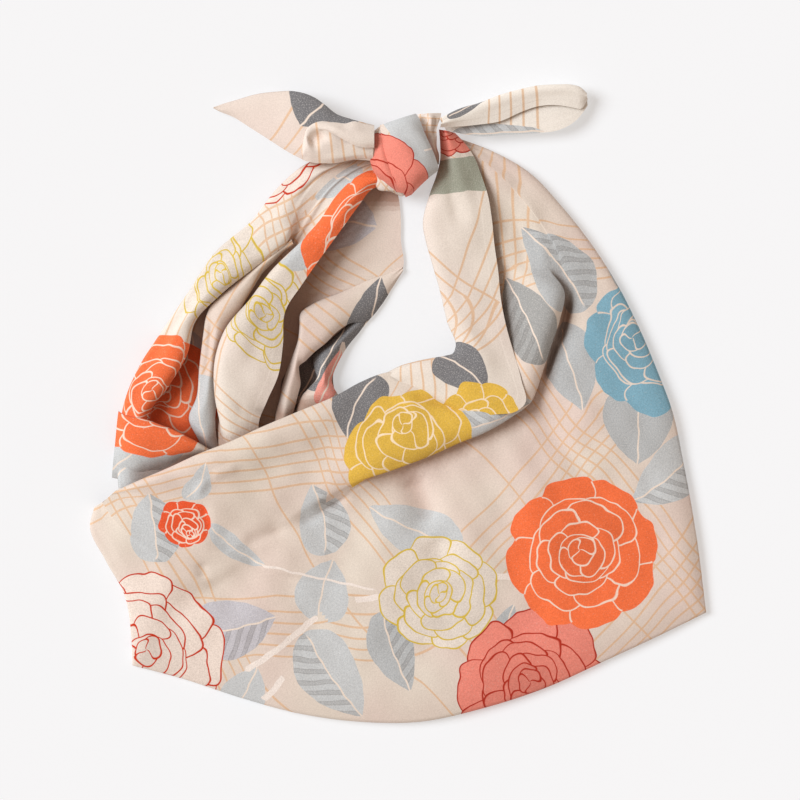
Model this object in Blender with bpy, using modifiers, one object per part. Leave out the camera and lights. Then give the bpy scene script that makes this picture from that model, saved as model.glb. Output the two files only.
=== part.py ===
"""Furoshiki wrap: one printed square cloth folded and tied into a pouch with a single strap knot.

It lies flat on its back, +Z up. The pouch and the right strap are one layer at the floor that turns
round the outline, comes back over the front, folds in a pleat and ends at the rim of the handle loop.
The left strap comes down from the knot in folds and goes into the mouth behind the front. Every
layer is a surface through a short table of sections, thickened to the cloth, and all are one solid.
"""

import math

import bpy
import numpy as np

MM = 0.001
THICKNESS = 2.0  # of the cloth's solid, mm
FLOOR = THICKNESS / 2  # height of the middle of a layer that lies on the floor
LOWEST = 1.6  # height of the middle of a sloping layer where it comes down to the floor
LIP = 12.0  # how far a folded rim is tucked under itself
CLOTH_COLOUR = (0.82, 0.70, 0.62, 1.0)

# The pouch and the right strap, a row for each section, from the knot round to the left end of the
# mouth. Places in mm: the outline, the pleat's ridge and the rim of the loop or the mouth. roll is
# half the height of the outer turn, crown the front's height, low and high the heights under and
# over the pleat, tuck its overhang, cuff the height between ridge and rim.
POUCH_COLUMNS = (
    "outer_x", "outer_y", "ridge_x", "ridge_y", "rim_x", "rim_y",
    "roll", "crown", "low", "high", "tuck", "cuff", "rim",
)
POUCH_ROWS = (
    (53, 232, 46, 226, 38, 217, 3, 10, 11, 12, 0, 13, 12),
    (82, 221, 72, 207, 37, 200, 4, 12, 12, 14, 0, 13, 12),
    (115, 202, 98, 177, 32, 169, 5, 14, 11, 13, 0, 14, 13),
    (143, 173, 120, 147, 27, 145, 5, 13, 12, 15, 0, 13, 13),
    (169, 140, 134, 119, 32, 124, 5, 15, 11, 18, 3, 13, 13),
    (192, 104, 144, 97, 38, 104, 5, 13, 10, 26, 14, 14, 14),
    (211, 66, 140, 73, 44, 86, 5, 15, 11, 27, 18, 15, 14),
    (227, 28, 132, 49, 49, 70, 5, 17, 12, 25, 16, 16, 15),
    (240, -7, 125, 27, 52, 58, 5, 15, 13, 24, 14, 17, 17),
    (249, -49, 120, 12, 54, 48, 4, 18, 13, 24, 13, 18, 18),
    (261, -118, 116, 3, 51, 43, 4, 17, 14, 25, 12, 19, 19),
    (269, -182, 110, -3, 46, 40, 3, 15, 14, 25, 12, 20, 20),
    (224, -204, 100, -10, 39, 39, 4, 18, 15, 26, 12, 21, 20),
    (181, -224, 89, -17, 31, 38, 4, 21, 16, 27, 12, 22, 20),
    (128, -248, 74, -25, 22, 36, 4, 19, 17, 28, 11, 24, 20),
    (72, -266, 54, -33, 11, 32, 5, 22, 18, 29, 10, 26, 20),
    (20, -277, 27, -45, -2, 29, 5, 20, 19, 30, 9, 28, 21),
    (-33, -277, -5, -57, -15, 26, 5, 22, 20, 30, 6, 29, 22),
    (-85, -270, -41, -73, -32, 19, 5, 19, 20, 28, 2, 28, 24),
    (-137, -256, -80, -94, -52, 8, 4, 21, 20, 23, 0, 28, 28),
    (-189, -239, -124, -121, -85, -6, 4, 18, 20, 22, 0, 28, 32),
    (-231, -228, -159, -136, -118, -20, 3, 17, 22, 23, 0, 29, 34),
    (-232, -201, -181, -136, -144, -32, 5, 21, 22, 24, 0, 30, 34),
    (-238, -166, -202, -123, -172, -43, 6, 20, 24, 24, 0, 29, 33),
    (-254, -137, -220, -110, -198, -55, 6, 22, 23, 24, 0, 28, 31),
    (-268, -105, -241, -92, -224, -66, 6, 18, 20, 21, 0, 24, 27),
    (-264, -90, -254, -84, -244, -75, 6, 15, 16, 17, 0, 18, 19),
)

# The flap: the top layer of the right strap, from the knot down to the crease in the cuff where it
# sinks in. Its left side is the folded edge at the loop, its right side the sewn hem.
FLAP_COLUMNS = ("fold_x", "fold_y", "hem_x", "hem_y", "fold", "middle", "hem")
FLAP_ROWS = (
    (33, 221, 60, 221, 16, 22, 15),
    (33, 202, 70, 204, 17, 24, 17),
    (28, 182, 78, 182, 18, 21, 18),
    (22, 154, 82, 158, 18, 20, 18),
    (24, 143, 84, 138, 18, 21, 17),
    (29, 125, 87, 117, 19, 20, 18),
    (37, 97, 90, 88, 19, 21, 19),
    (43, 71, 95, 64, 20, 22, 20),
    (50, 48, 101, 43, 23, 25, 22),
    (48, 44, 107, 21, 24, 26, 23),
    (42, 42, 110, 2, 24, 27, 23),
    (30, 40, 102, -4, 24, 27, 22),
    (16, 37, 82, -7, 24, 27, 22),
    (2, 33, 61, -8, 22, 25, 20),
    (-10, 27, 37, -2, 20, 21, 19),
)

# The left strap, a row for each section from the knot into the pouch: the outer contour, the edge of
# the outer roll, the edge of the hemmed fold, its hem, and the bottom layer's edge at the loop.
STRAP_COLUMNS = (
    "outer_x", "outer_y", "roll_x", "roll_y", "fold_x", "fold_y", "hem_x", "hem_y", "loop_x", "loop_y",
    "roll", "crest", "tuck", "low", "crown", "hem", "loop",
)
STRAP_ROWS = (
    (-22, 231, -20, 215, -17, 205, -14, 190, -5, 197, 6, 19, 0, 18, 22, 16, 5),
    (-46, 219, -41, 207, -33, 198, -22, 186, 0, 184, 7, 20, 0, 18, 23, 17, 4),
    (-80, 209, -65, 191, -51, 182, -34, 171, 2, 173, 8, 21, 0, 18, 25, 20, 3),
    (-104, 189, -83, 170, -67, 161, -47, 153, 3, 160, 8, 22, 1, 17, 26, 23, 3),
    (-127, 160, -100, 144, -83, 137, -63, 131, 3, 143, 8, 23, 4, 15, 28, 24, 3),
    (-160, 131, -120, 117, -107, 117, -82, 104, 5, 119, 8, 25, 9, 14, 29, 24, 5),
    (-182, 98, -153, 94, -128, 90, -97, 80, -8, 97, 8, 26, 10, 15, 30, 25, 4),
    (-205, 64, -177, 69, -148, 64, -99, 51, -27, 70, 8, 26, 10, 13, 31, 27, 3),
    (-225, 33, -182, 45, -157, 37, -103, 25, -45, 50, 8, 27, 8, 12, 31, 28, 3),
    (-238, 2, -186, 10, -158, 7, -113, 2, -56, 24, 8, 26, 6, 13, 30, 26, 3),
    (-243, -31, -181, -18, -156, -23, -120, -16, -54, 7, 8, 23, 7, 12, 27, 22, 3),
    (-244, -64, -172, -47, -153, -44, -118, -36, -52, -18, 7, 19, 6, 9, 22, 17, 3),
    (-240, -94, -167, -75, -147, -70, -118, -62, -52, -44, 5, 14, 4, 6, 15, 11, 3),
)

# Narrow folds of the inside that lie on the bottom layer, from the loop's side down to the mouth.
BAND_COLUMNS = ("left_x", "left_y", "right_x", "right_y", "left", "middle", "right")
LIGHT_FOLD_ROWS = (
    (-85, 90, -33, 104, 6, 6, 6),
    (-96, 74, -40, 80, 9, 9, 8),
    (-87, 56, -64, 57, 15, 17, 12),
    (-87, 47, -73, 47, 17, 19, 14),
    (-91, 36, -83, 37, 18, 20, 15),
    (-96, 19, -84, 17, 17, 20, 15),
    (-102, 3, -87, 2, 15, 18, 13),
    (-106, -16, -92, -10, 11, 14, 10),
    (-106, -40, -92, -37, 6, 8, 6),
)
LOOP_FOLD_ROWS = (
    (-24, 106, -5, 98, 4, 6, 5),
    (-36, 88, -17, 79, 4, 8, 5),
    (-53, 71, -28, 66, 5, 11, 6),
    (-61, 54, -43, 51, 8, 13, 7),
    (-72, 41, -51, 38, 10, 15, 8),
    (-69, 26, -57, 23, 12, 16, 10),
    (-80, 13, -57, 12, 9, 15, 12),
    (-85, 0, -53, 3, 7, 13, 11),
    (-88, -23, -54, -18, 5, 8, 6),
)

# The left ear, from the knot to its tip: the upper and lower edges and the heights across.
LEFT_EAR_ROWS = (
    (-20, 240, -20, 213, 30, 35, 29),
    (-37, 244, -37, 211, 30, 34, 29),
    (-52, 249, -52, 208, 29, 33, 29),
    (-67, 262, -68, 209, 27, 32, 28),
    (-81, 270, -85, 215, 23, 30, 25),
    (-98, 271, -102, 226, 19, 25, 20),
    (-118, 268, -123, 239, 13, 18, 13),
    (-137, 264, -141, 250, 7, 10, 7),
    (-158, 260, -158, 253, 4, 4, 4),
)
# The rolled lower edge of that ear, turned over towards the knot.
CURL_ROWS = (
    (-20, 228, -20, 211, 37, 41, 31),
    (-36, 227, -36, 210, 38, 42, 31),
    (-50, 235, -50, 207, 36, 41, 31),
    (-62, 239, -64, 208, 34, 39, 30),
    (-74, 233, -76, 212, 31, 35, 28),
    (-80, 226, -82, 217, 28, 30, 26),
)

# The right ear, from the knot to its end: the folded upper edge, the hems of its two layers.
RIGHT_EAR_COLUMNS = (
    "fold_x", "fold_y", "top_x", "top_y", "low_x", "low_y", "base", "roll", "crown", "hem",
)
RIGHT_EAR_ROWS = (
    (36, 250, 34, 236, 40, 232, 22, 4, 33, 28),
    (54, 258, 56, 237, 60, 232, 18, 4, 30, 26),
    (72, 264, 72, 239, 80, 231, 14, 4, 26, 22),
    (89, 268, 89, 248, 98, 232, 10, 4, 23, 18),
    (107, 271, 107, 256, 115, 234, 6, 4, 19, 15),
    (128, 275, 128, 259, 133, 237, 4, 5, 17, 12),
    (150, 277, 150, 261, 152, 243, 2, 5, 14, 10),
    (165, 271, 160, 262, 165, 254, 2, 4, 11, 9),
)

# The knot's outline from above, an angle and a radius a row about its middle, and its heights.
KNOT_MIDDLE = (5.0, 214.0)
KNOT_OUTLINE = (
    (0, 28), (25, 30), (50, 36), (70, 38), (95, 28), (120, 30), (140, 36),
    (165, 33), (195, 30), (225, 33), (255, 33), (280, 35), (305, 33), (330, 30),
)
KNOT_BOTTOM = 13.0
KNOT_TOP = 46.0
# The pinched cloth behind the knot, where the right ear and the right strap leave it.
TWIST_MIDDLE = (32.0, 236.0)
TWIST_OUTLINE = ((0, 12), (60, 15), (90, 16), (150, 18), (200, 18), (250, 20), (290, 18), (330, 13))
TWIST_BOTTOM = 10.0
TWIST_TOP = 34.0


def clear_scene():
    for obj in list(bpy.data.objects):
        bpy.data.objects.remove(obj, do_unlink=True)


def columns_of(names, rows):
    """The table as one array for each named column."""
    return dict(zip(names, np.array(rows, float).T))


def refine(points, steps, axis):
    """Points of a smooth curve through the given ones, along one axis of the grid.

    Each span is a cubic between its two points. The slope at a point is the mean of its two
    neighbouring spans' slopes, each weighted by the length of the other span.
    """
    points = np.moveaxis(points, axis, 0)
    span = np.diff(points, axis=0)
    length = np.linalg.norm(span, axis=-1, keepdims=True) + 1e-6
    slope = span / length
    inner = (slope[:-1] * length[1:] + slope[1:] * length[:-1]) / (length[1:] + length[:-1])
    tangent = np.concatenate([slope[:1], inner, slope[-1:]])
    found = []
    for i in range(len(span)):
        for t in np.arange(steps) / steps:
            found.append(
                (1 + 2 * t) * (1 - t) ** 2 * points[i]
                + t * (1 - t) ** 2 * length[i] * tangent[i]
                + t * t * (3 - 2 * t) * points[i + 1]
                + t * t * (t - 1) * length[i] * tangent[i + 1]
            )
    found.append(points[-1])
    return np.moveaxis(np.array(found), 0, axis)


def stop(place, height):
    """A stop of a section: a place in plan and a height for each row."""
    return np.column_stack([place, np.broadcast_to(height, len(place))])


def towards(start, end):
    """Unit vectors in plan from one place to another."""
    way = end - start
    return way / np.linalg.norm(way, axis=1, keepdims=True)


def between(start, end, share):
    return start + (end - start) * share


def outer_turn(edge, inward, roll, base):
    """The rounded turn at an outline, from the layer on the floor up to the layer over it."""
    stops = []
    for angle in np.radians((-90, -45, 0, 45, 90)):
        reach = THICKNESS / 2 + roll * (1 - math.cos(angle))
        stops.append(stop(edge + inward * reach[:, None], base + roll * (1 + math.sin(angle))))
    return stops


def pleat(edge, before, after, tuck, low, high):
    """A Z-shaped pleat, from the low layer to the high layer that overhangs it at the edge.

    before is the place that the low layer comes from, after the one that the high layer goes to.
    Where the tuck is small, the pleat opens out into a slope between those two.
    """
    inward = towards(edge, after)
    room = np.minimum(
        np.linalg.norm(before - edge, axis=1),
        np.linalg.norm(after - edge, axis=1),
    )
    slope = np.minimum(room * 0.4, 9.0)
    folded = np.clip(tuck / 6.0, 0, 1)
    middle = (low + high) / 2
    closed = (tuck * 0.4, tuck, tuck, tuck * 0.45, -0.5 + 0 * tuck, 3.0 + 0 * tuck)
    opened = [slope * share for share in (-1.0, -0.6, -0.2, 0.2, 0.6, 1.0)]
    closed_heights = (
        low, low + (middle - low) * 0.25, low + (middle - low) * 0.8,
        middle, (middle + high) / 2, high,
    )
    opened_heights = [low + (high - low) * share for share in (0, 0.15, 0.35, 0.6, 0.85, 1)]
    stops = []
    for i in range(6):
        reach = opened[i] + (closed[i] - opened[i]) * folded
        height = opened_heights[i] + (closed_heights[i] - opened_heights[i]) * folded
        stops.append(stop(edge + inward * reach[:, None], height))
    return stops


def rim_turn(edge, before, height):
    """A rim folded over and tucked under itself, from its top to the end of the tuck.

    before is the place that the top layer comes from. The tuck takes up half of the way there at most.
    """
    way = before - edge
    lip = np.minimum(LIP / np.linalg.norm(way, axis=1, keepdims=True), 0.5) * way
    return [
        stop(edge + lip * 0.5, height + 0.5),
        stop(edge, height - 2.5),
        stop(edge + lip * 0.4, height - 5),
        stop(edge + lip, height - 5.5),
    ]


def pouch_sections():
    """Back, outer turn, front, pleat, cuff and rim, as stops for each row."""
    c = columns_of(POUCH_COLUMNS, POUCH_ROWS)
    outer = np.column_stack([c["outer_x"], c["outer_y"]])
    ridge = np.column_stack([c["ridge_x"], c["ridge_y"]])
    rim = np.column_stack([c["rim_x"], c["rim_y"]])
    inward = towards(outer, ridge)
    under = towards(ridge, rim)
    floor_end = rim - under * 7
    turned = outer + inward * c["roll"][:, None]
    stops = [
        stop(floor_end, FLOOR),
        stop(between(floor_end, turned, 0.5), FLOOR),
        *outer_turn(outer, inward, c["roll"], FLOOR),
        stop(between(turned, ridge, 0.3), FLOOR + c["roll"] + (c["crown"] - c["roll"]) * 0.7),
        stop(between(turned, ridge, 0.65), c["crown"]),
        *pleat(ridge, turned, rim, c["tuck"], c["low"], c["high"]),
        stop(between(ridge, rim, 0.55), c["cuff"]),
        *rim_turn(rim, ridge, c["rim"]),
    ]
    return np.stack(stops, axis=1)


def flap_sections():
    """The folded edge at the loop, then the top layer across to its hem."""
    c = columns_of(FLAP_COLUMNS, FLAP_ROWS)
    fold = np.column_stack([c["fold_x"], c["fold_y"]])
    hem = np.column_stack([c["hem_x"], c["hem_y"]])
    across = towards(fold, hem)
    stops = [
        stop(fold + across * LIP, c["fold"] - 6),
        stop(fold + across * 4, c["fold"] - 6),
        stop(fold, c["fold"] - 3),
        stop(fold + across * 4, c["fold"]),
        stop(between(fold, hem, 0.35), c["middle"]),
        stop(between(fold, hem, 0.7), between(c["middle"], c["hem"], 0.4)),
        stop(hem, c["hem"]),
    ]
    return np.stack(stops, axis=1)


def strap_sections():
    """The bottom layer from the loop, the outer roll, the sunk fold and the hemmed fold."""
    c = columns_of(STRAP_COLUMNS, STRAP_ROWS)
    outer = np.column_stack([c["outer_x"], c["outer_y"]])
    roll = np.column_stack([c["roll_x"], c["roll_y"]])
    fold = np.column_stack([c["fold_x"], c["fold_y"]])
    hem = np.column_stack([c["hem_x"], c["hem_y"]])
    loop = np.column_stack([c["loop_x"], c["loop_y"]])
    inward = towards(outer, loop)
    turned = outer + inward * c["roll"][:, None]
    base = FLOOR + 1.0
    stops = [
        stop(loop, c["loop"]),
        stop(between(loop, turned, 0.12), base + (c["loop"] - base) * 0.3),
        stop(between(loop, turned, 0.5), base),
        *outer_turn(outer, inward, c["roll"], base),
        stop(between(turned, roll, 0.5), c["crest"]),
        *reversed(pleat(roll, fold, turned, c["tuck"], c["low"], c["crest"] - 2)),
        stop(between(roll, fold, 0.5), c["low"] + 1),
        *pleat(fold, roll, hem, c["tuck"], c["low"], c["crown"] - 1),
        stop(between(fold, hem, 0.6), c["crown"]),
        stop(hem, c["hem"]),
    ]
    return np.stack(stops, axis=1)


def band_sections(rows, lip):
    """A band between two edges, each turned down and under by the lip."""
    c = columns_of(BAND_COLUMNS, rows)
    left = np.column_stack([c["left_x"], c["left_y"]])
    right = np.column_stack([c["right_x"], c["right_y"]])
    across = towards(left, right)
    width = np.linalg.norm(right - left, axis=1, keepdims=True)
    tuck = np.minimum(lip, width * 0.35)
    drop = np.minimum(4, width[:, 0] * 0.2)
    shoulder = across * np.minimum(3, width * 0.2)
    stops = [
        stop(left + across * tuck, np.maximum(c["left"] - drop, LOWEST)),
        stop(left, np.maximum(c["left"] - 1.5, LOWEST)),
        stop(left + shoulder, c["left"] + 1),
        stop(between(left, right, 0.5), c["middle"]),
        stop(right - shoulder, c["right"] + 1),
        stop(right, np.maximum(c["right"] - 1.5, LOWEST)),
    ]
    return np.stack(stops, axis=1)


def right_ear_sections():
    """The lower layer from its hem, the fold at the upper edge and the top layer to its hem."""
    c = columns_of(RIGHT_EAR_COLUMNS, RIGHT_EAR_ROWS)
    fold = np.column_stack([c["fold_x"], c["fold_y"]])
    top = np.column_stack([c["top_x"], c["top_y"]])
    low = np.column_stack([c["low_x"], c["low_y"]])
    inward = towards(fold, low)
    turned = fold + inward * c["roll"][:, None]
    stops = [
        stop(low, c["base"]),
        stop(between(low, turned, 0.5), c["base"]),
        *outer_turn(fold, inward, c["roll"], c["base"]),
        stop(between(turned, top, 0.5), c["crown"]),
        stop(top, c["hem"]),
    ]
    return np.stack(stops, axis=1)


def grid_mesh(name, grid):
    """An open surface through a grid of points in mm."""
    rows, stops = grid.shape[:2]
    index = np.arange(rows * stops).reshape(rows, stops)
    corners = [index[:-1, :-1], index[1:, :-1], index[1:, 1:], index[:-1, 1:]]
    faces = np.stack(corners, axis=-1).reshape(-1, 4)
    mesh = bpy.data.meshes.new(name)
    mesh.from_pydata((grid.reshape(-1, 3) * MM).tolist(), [], faces.tolist())
    mesh.update()
    return mesh


def cloth_layer(name, sections, row_steps, stop_steps):
    """A layer of the cloth: the smooth surface through its sections, thickened evenly."""
    grid = refine(refine(sections, row_steps, 0), stop_steps, 1)
    layer = bpy.data.objects.new(name, grid_mesh(name, grid))
    thicken = layer.modifiers.new("cloth thickness", "SOLIDIFY")
    thicken.thickness = THICKNESS * MM
    thicken.offset = 0
    thicken.use_even_offset = False
    return layer


def lump(name, middle, outline, bottom, top, levels=6, sides=20):
    """A closed rounded form: its outline drawn in towards the top and the bottom as an ellipse."""
    angles, radii = np.array(outline + ((outline[0][0] + 360, outline[0][1]),), float).T
    around = np.linspace(0, 360, sides, endpoint=False)
    radius = np.interp(around, angles, radii)
    tilt = np.radians(np.linspace(-75, 75, levels))
    half = (top - bottom) / 2
    rings = [
        np.column_stack([
            middle[0] + radius * math.cos(t) ** 0.6 * np.cos(np.radians(around)),
            middle[1] + radius * math.cos(t) ** 0.6 * np.sin(np.radians(around)),
            np.full(sides, bottom + half + half * math.sin(t) / math.sin(tilt[-1])),
        ])
        for t in tilt
    ]
    points = np.concatenate(rings) * MM
    faces = [tuple(reversed(range(sides)))]
    for ring in range(levels - 1):
        for i in range(sides):
            j = (i + 1) % sides
            a, b = ring * sides + i, ring * sides + j
            faces.append((a, b, b + sides, a + sides))
    faces.append(tuple(range((levels - 1) * sides, levels * sides)))
    mesh = bpy.data.meshes.new(name)
    mesh.from_pydata(points.tolist(), [], faces)
    mesh.update()
    return bpy.data.objects.new(name, mesh)


def cloth_material():
    material = bpy.data.materials.new("printed crepe cloth")
    material.use_nodes = True
    shader = material.node_tree.nodes["Principled BSDF"]
    shader.inputs["Base Color"].default_value = CLOTH_COLOUR
    shader.inputs["Roughness"].default_value = 0.8
    shader.inputs["Metallic"].default_value = 0.0
    return material


def main():
    clear_scene()
    shown = bpy.data.collections.new("furoshiki wrap")
    joined = bpy.data.collections.new("layers joined to the cloth")
    bpy.context.scene.collection.children.link(shown)
    bpy.context.scene.collection.children.link(joined)

    cloth = cloth_layer("furoshiki_cloth", pouch_sections(), 2, 1)
    cloth.data.materials.append(cloth_material())
    shown.objects.link(cloth)

    layers = (
        cloth_layer("left strap", strap_sections(), 2, 1),
        cloth_layer("right strap flap", flap_sections(), 2, 1),
        cloth_layer("light fold", band_sections(LIGHT_FOLD_ROWS, 5), 2, 1),
        cloth_layer("loop fold", band_sections(LOOP_FOLD_ROWS, 6), 2, 1),
        lump("knot", KNOT_MIDDLE, KNOT_OUTLINE, KNOT_BOTTOM, KNOT_TOP),
        lump("twist", TWIST_MIDDLE, TWIST_OUTLINE, TWIST_BOTTOM, TWIST_TOP, 5, 12),
        cloth_layer("left ear", band_sections(LEFT_EAR_ROWS, 8), 2, 1),
        cloth_layer("left ear curl", band_sections(CURL_ROWS, 4), 2, 1),
        cloth_layer("right ear", right_ear_sections(), 2, 1),
    )
    for layer in layers:
        layer.hide_render = True
        layer.display_type = "WIRE"
        joined.objects.link(layer)
        union = cloth.modifiers.new("join " + layer.name, "BOOLEAN")
        union.operation = "UNION"
        union.solver = "EXACT"
        union.object = layer


main()
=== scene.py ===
"""Looks of the furoshiki wrap: one square of printed crepe, tied into a pouch that lies flat.

Every layer of the cloth is a surface through a short table of sections in millimetres, as the real
cloth runs: pouch, flap, straps, knot and ears. The print is drawn on the unrolled layers.
"""

import math
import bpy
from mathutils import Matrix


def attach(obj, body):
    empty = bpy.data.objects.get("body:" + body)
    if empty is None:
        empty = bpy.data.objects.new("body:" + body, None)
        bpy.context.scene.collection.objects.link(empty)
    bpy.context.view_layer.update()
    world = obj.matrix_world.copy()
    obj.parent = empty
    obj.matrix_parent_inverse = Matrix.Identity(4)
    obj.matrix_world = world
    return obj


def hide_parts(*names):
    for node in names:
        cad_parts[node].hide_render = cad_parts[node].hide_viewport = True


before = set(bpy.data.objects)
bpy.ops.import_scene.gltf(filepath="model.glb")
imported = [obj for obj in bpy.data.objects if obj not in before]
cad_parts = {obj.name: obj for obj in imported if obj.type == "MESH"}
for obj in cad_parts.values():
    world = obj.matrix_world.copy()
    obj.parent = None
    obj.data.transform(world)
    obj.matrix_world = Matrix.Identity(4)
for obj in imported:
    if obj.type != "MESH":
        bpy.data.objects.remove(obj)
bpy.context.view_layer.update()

from types import SimpleNamespace

import bpy
import numpy as np

# --- Table top ------------
# A plain pale board, far larger than the cloth, which lies on it at height zero. It isn't part of
# the wrap.

MM = 0.001
BOARD_SIDE = 9.0  # metres


def linear(code):
    """The linear colour of an sRGB hex value, by the sRGB curve."""
    value = np.array([int(code[i:i + 2], 16) for i in (1, 3, 5)]) / 255
    value = np.where(value <= 0.04045, value / 12.92, ((value + 0.055) / 1.055) ** 2.4)
    return (*value, 1.0)


def new_material(name, values):
    """A material with these values on its shader, and that shader."""
    material = bpy.data.materials.new(name)
    material.use_nodes = True
    shader = material.node_tree.nodes["Principled BSDF"]
    for socket, value in values.items():
        shader.inputs[socket].default_value = value
    return material, shader


def new_object(name, data):
    """An object that is linked to the scene."""
    made = bpy.data.objects.new(name, data)
    bpy.context.scene.collection.objects.link(made)
    return made


half = BOARD_SIDE / 2
board_mesh = bpy.data.meshes.new("board")
board_mesh.from_pydata(
    [(-half, -half, 0), (half, -half, 0), (half, half, 0), (-half, half, 0)], [], [(0, 1, 2, 3)]
)
board = new_object("board", board_mesh)

# Matt white laminate: an even pale surface with no pattern.
laminate, _ = new_material("matt white laminate", {
    "Base Color": linear("#BFC2C6"), "Emission Color": linear("#FFFFFF"), "Emission Strength": 0.42,
    "Roughness": 0.9, "Specular IOR Level": 0.0,
})
board_mesh.materials.append(laminate)

# --- Soft daylight and the camera ------------
# An even white sky all round gives most of the light, and a very wide soft lamp from the left
# gives the folds their shade. The camera looks straight down at the middle of the wrap.

scene = bpy.context.scene
scene.view_settings.view_transform = "Standard"

sky = bpy.data.worlds.new("white sky")
scene.world = sky
sky.use_nodes = True
sky.node_tree.nodes["Background"].inputs["Color"].default_value = linear("#FFE9D8")
sky.node_tree.nodes["Background"].inputs["Strength"].default_value = 0.44

lamp_data = bpy.data.lights.new("soft lamp", "SUN")
lamp_data.energy = 2.7
lamp_data.color = linear("#F6FBFF")[:3]
lamp_data.angle = math.radians(32)
lamp = new_object("soft lamp", lamp_data)
lamp.rotation_euler = (math.radians(-12), math.radians(-46), 0)

camera_data = bpy.data.cameras.new("camera")
camera_data.sensor_width = 36.0
camera_data.lens = 206.9
camera = new_object("camera", camera_data)
camera.location = (0.0022, 0.0035, 4.0)
scene.camera = camera

# --- Layers: from a table of sections to a smooth surface ------------
# A table has a row for each section across a layer. A row gives the x and y of a few places, then
# heights, all in mm. A section runs through stops, each a place in plan with a height.

THICKNESS = 2.0  # of the room that a layer takes up, mm
FLOOR = THICKNESS / 2  # height of a layer on the board
LOWEST = 1.6  # height of a sloping layer where it comes down to the board
LIP = 12.0  # how far a folded rim is tucked under itself
HEM = 8.0  # the width of the sewn hem
NO_HEM = 99.0  # the distance from a hem that stands for no hem


def table(rows, places, heights):
    """The columns of a table by name: the places as points in plan, the heights as numbers."""
    columns = iter(np.array(rows, float).T)
    found = {name: np.column_stack([next(columns), next(columns)]) for name in places.split()}
    found.update((name, next(columns)) for name in heights.split())
    return SimpleNamespace(**found)


def length_of(vectors):
    """The length of each vector: the root of the sum of its squares."""
    return np.linalg.norm(vectors, axis=-1, keepdims=True)


def between(start, end, share):
    """The start plus a share of the way to the end."""
    return start + (end - start) * share


def towards(start, end):
    """Unit vectors in plan from one place to another."""
    way = end - start
    return way / length_of(way)


def stop(place, height):
    """A stop of a section: a place in plan and a height for each row."""
    return np.column_stack([place, np.broadcast_to(height, len(place))])


def smooth_through(points, spacing, axis, sharp=0.0):
    """Points of a smooth curve through the given ones, along one axis of the grid, and the index
    that each given one gets. Each span is a cubic, with as many steps as its longest run needs at
    its spacing in mm. The slope at a point is the mean of its two spans' slopes, each weighted by
    the length of the other, but a sharp point keeps the slope of each span."""
    points = np.moveaxis(points, axis, 0)
    sharp = np.broadcast_to(sharp, points.shape[:2])[..., None]
    span = np.diff(points, axis=0)
    length = length_of(span) + 1e-6
    slope = span / length
    inner = (slope[:-1] * length[1:] + slope[1:] * length[:-1]) / (length[1:] + length[:-1])
    tangent = np.concatenate([slope[:1], inner, slope[-1:]])
    leaving = between(tangent[:-1], slope, sharp[:-1])
    reaching = between(tangent[1:], slope, sharp[1:])
    found, marks = [], [0]
    for i, step in enumerate(np.broadcast_to(spacing, len(span))):
        count = math.ceil(length[i].max() / step)
        t = (np.arange(count) / count)[:, None, None]
        found.append(
            (1 + 2 * t) * (1 - t) ** 2 * points[i]
            + t * (1 - t) ** 2 * length[i] * leaving[i]
            + t * t * (3 - 2 * t) * points[i + 1]
            + t * t * (t - 1) * length[i] * reaching[i]
        )
        marks.append(marks[-1] + count)
    found.append(points[-1:])
    return np.moveaxis(np.concatenate(found), 0, axis), marks


def surface(stops, along, across, sharp=0.0):
    """The smooth surface of a layer, with the row of each section and the column of each stop."""
    grid, sections = smooth_through(np.stack(stops, axis=1), along, 0, sharp)
    grid, marks = smooth_through(grid, across, 1)
    return grid, sections, marks


def outer_turn(edge, inward, roll, base):
    """The rounded turn at an outline, from the layer on the board up to the layer over it."""
    stops = []
    for angle in np.radians((-90, -45, 0, 45, 90)):
        reach = THICKNESS / 2 + roll * (1 - math.cos(angle))
        stops.append(stop(edge + inward * reach[:, None], base + roll * (1 + math.sin(angle))))
    return stops


# For each stop of a pleat: how far in from the edge it lies when closed, as a share of the tuck and in
# mm beyond that, and its share of the height, then both as shares of an open slope.
PLEAT_STOPS = (
    (0.4, 0.0, 0.0, -1.0, 0.0),
    (1.0, 0.0, 0.125, -0.6, 0.15),
    (1.0, 0.0, 0.4, -0.2, 0.35),
    (0.45, 0.0, 0.5, 0.2, 0.6),
    (0.0, -0.5, 0.75, 0.6, 0.85),
    (0.0, 3.0, 1.0, 1.0, 1.0),
)


def pleat(edge, before, after, tuck, low, high):
    """A Z-shaped pleat, from the low layer to the high layer that overhangs it at the edge.
    before is the place that the low layer comes from, after the one that the high layer goes to.
    Where the tuck is small, the pleat opens out into a slope between those two."""
    inward = towards(edge, after)
    room = np.minimum(length_of(before - edge), length_of(after - edge))[:, 0]
    slope = np.minimum(room * 0.4, 9.0)
    closed = np.clip(tuck / 6.0, 0, 1)
    stops = []
    for share, beyond, height, open_share, open_height in PLEAT_STOPS:
        reach = between(slope * open_share, tuck * share + beyond, closed)
        height = between(low, high, between(open_height, height, closed))
        stops.append(stop(edge + inward * reach[:, None], height))
    return stops


CREASE_BEYOND = 0.1  # how far a crease runs on past its ends, as a share of its length
CREASE_FADE = 0.35  # the share over which it fades at each end


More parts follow.
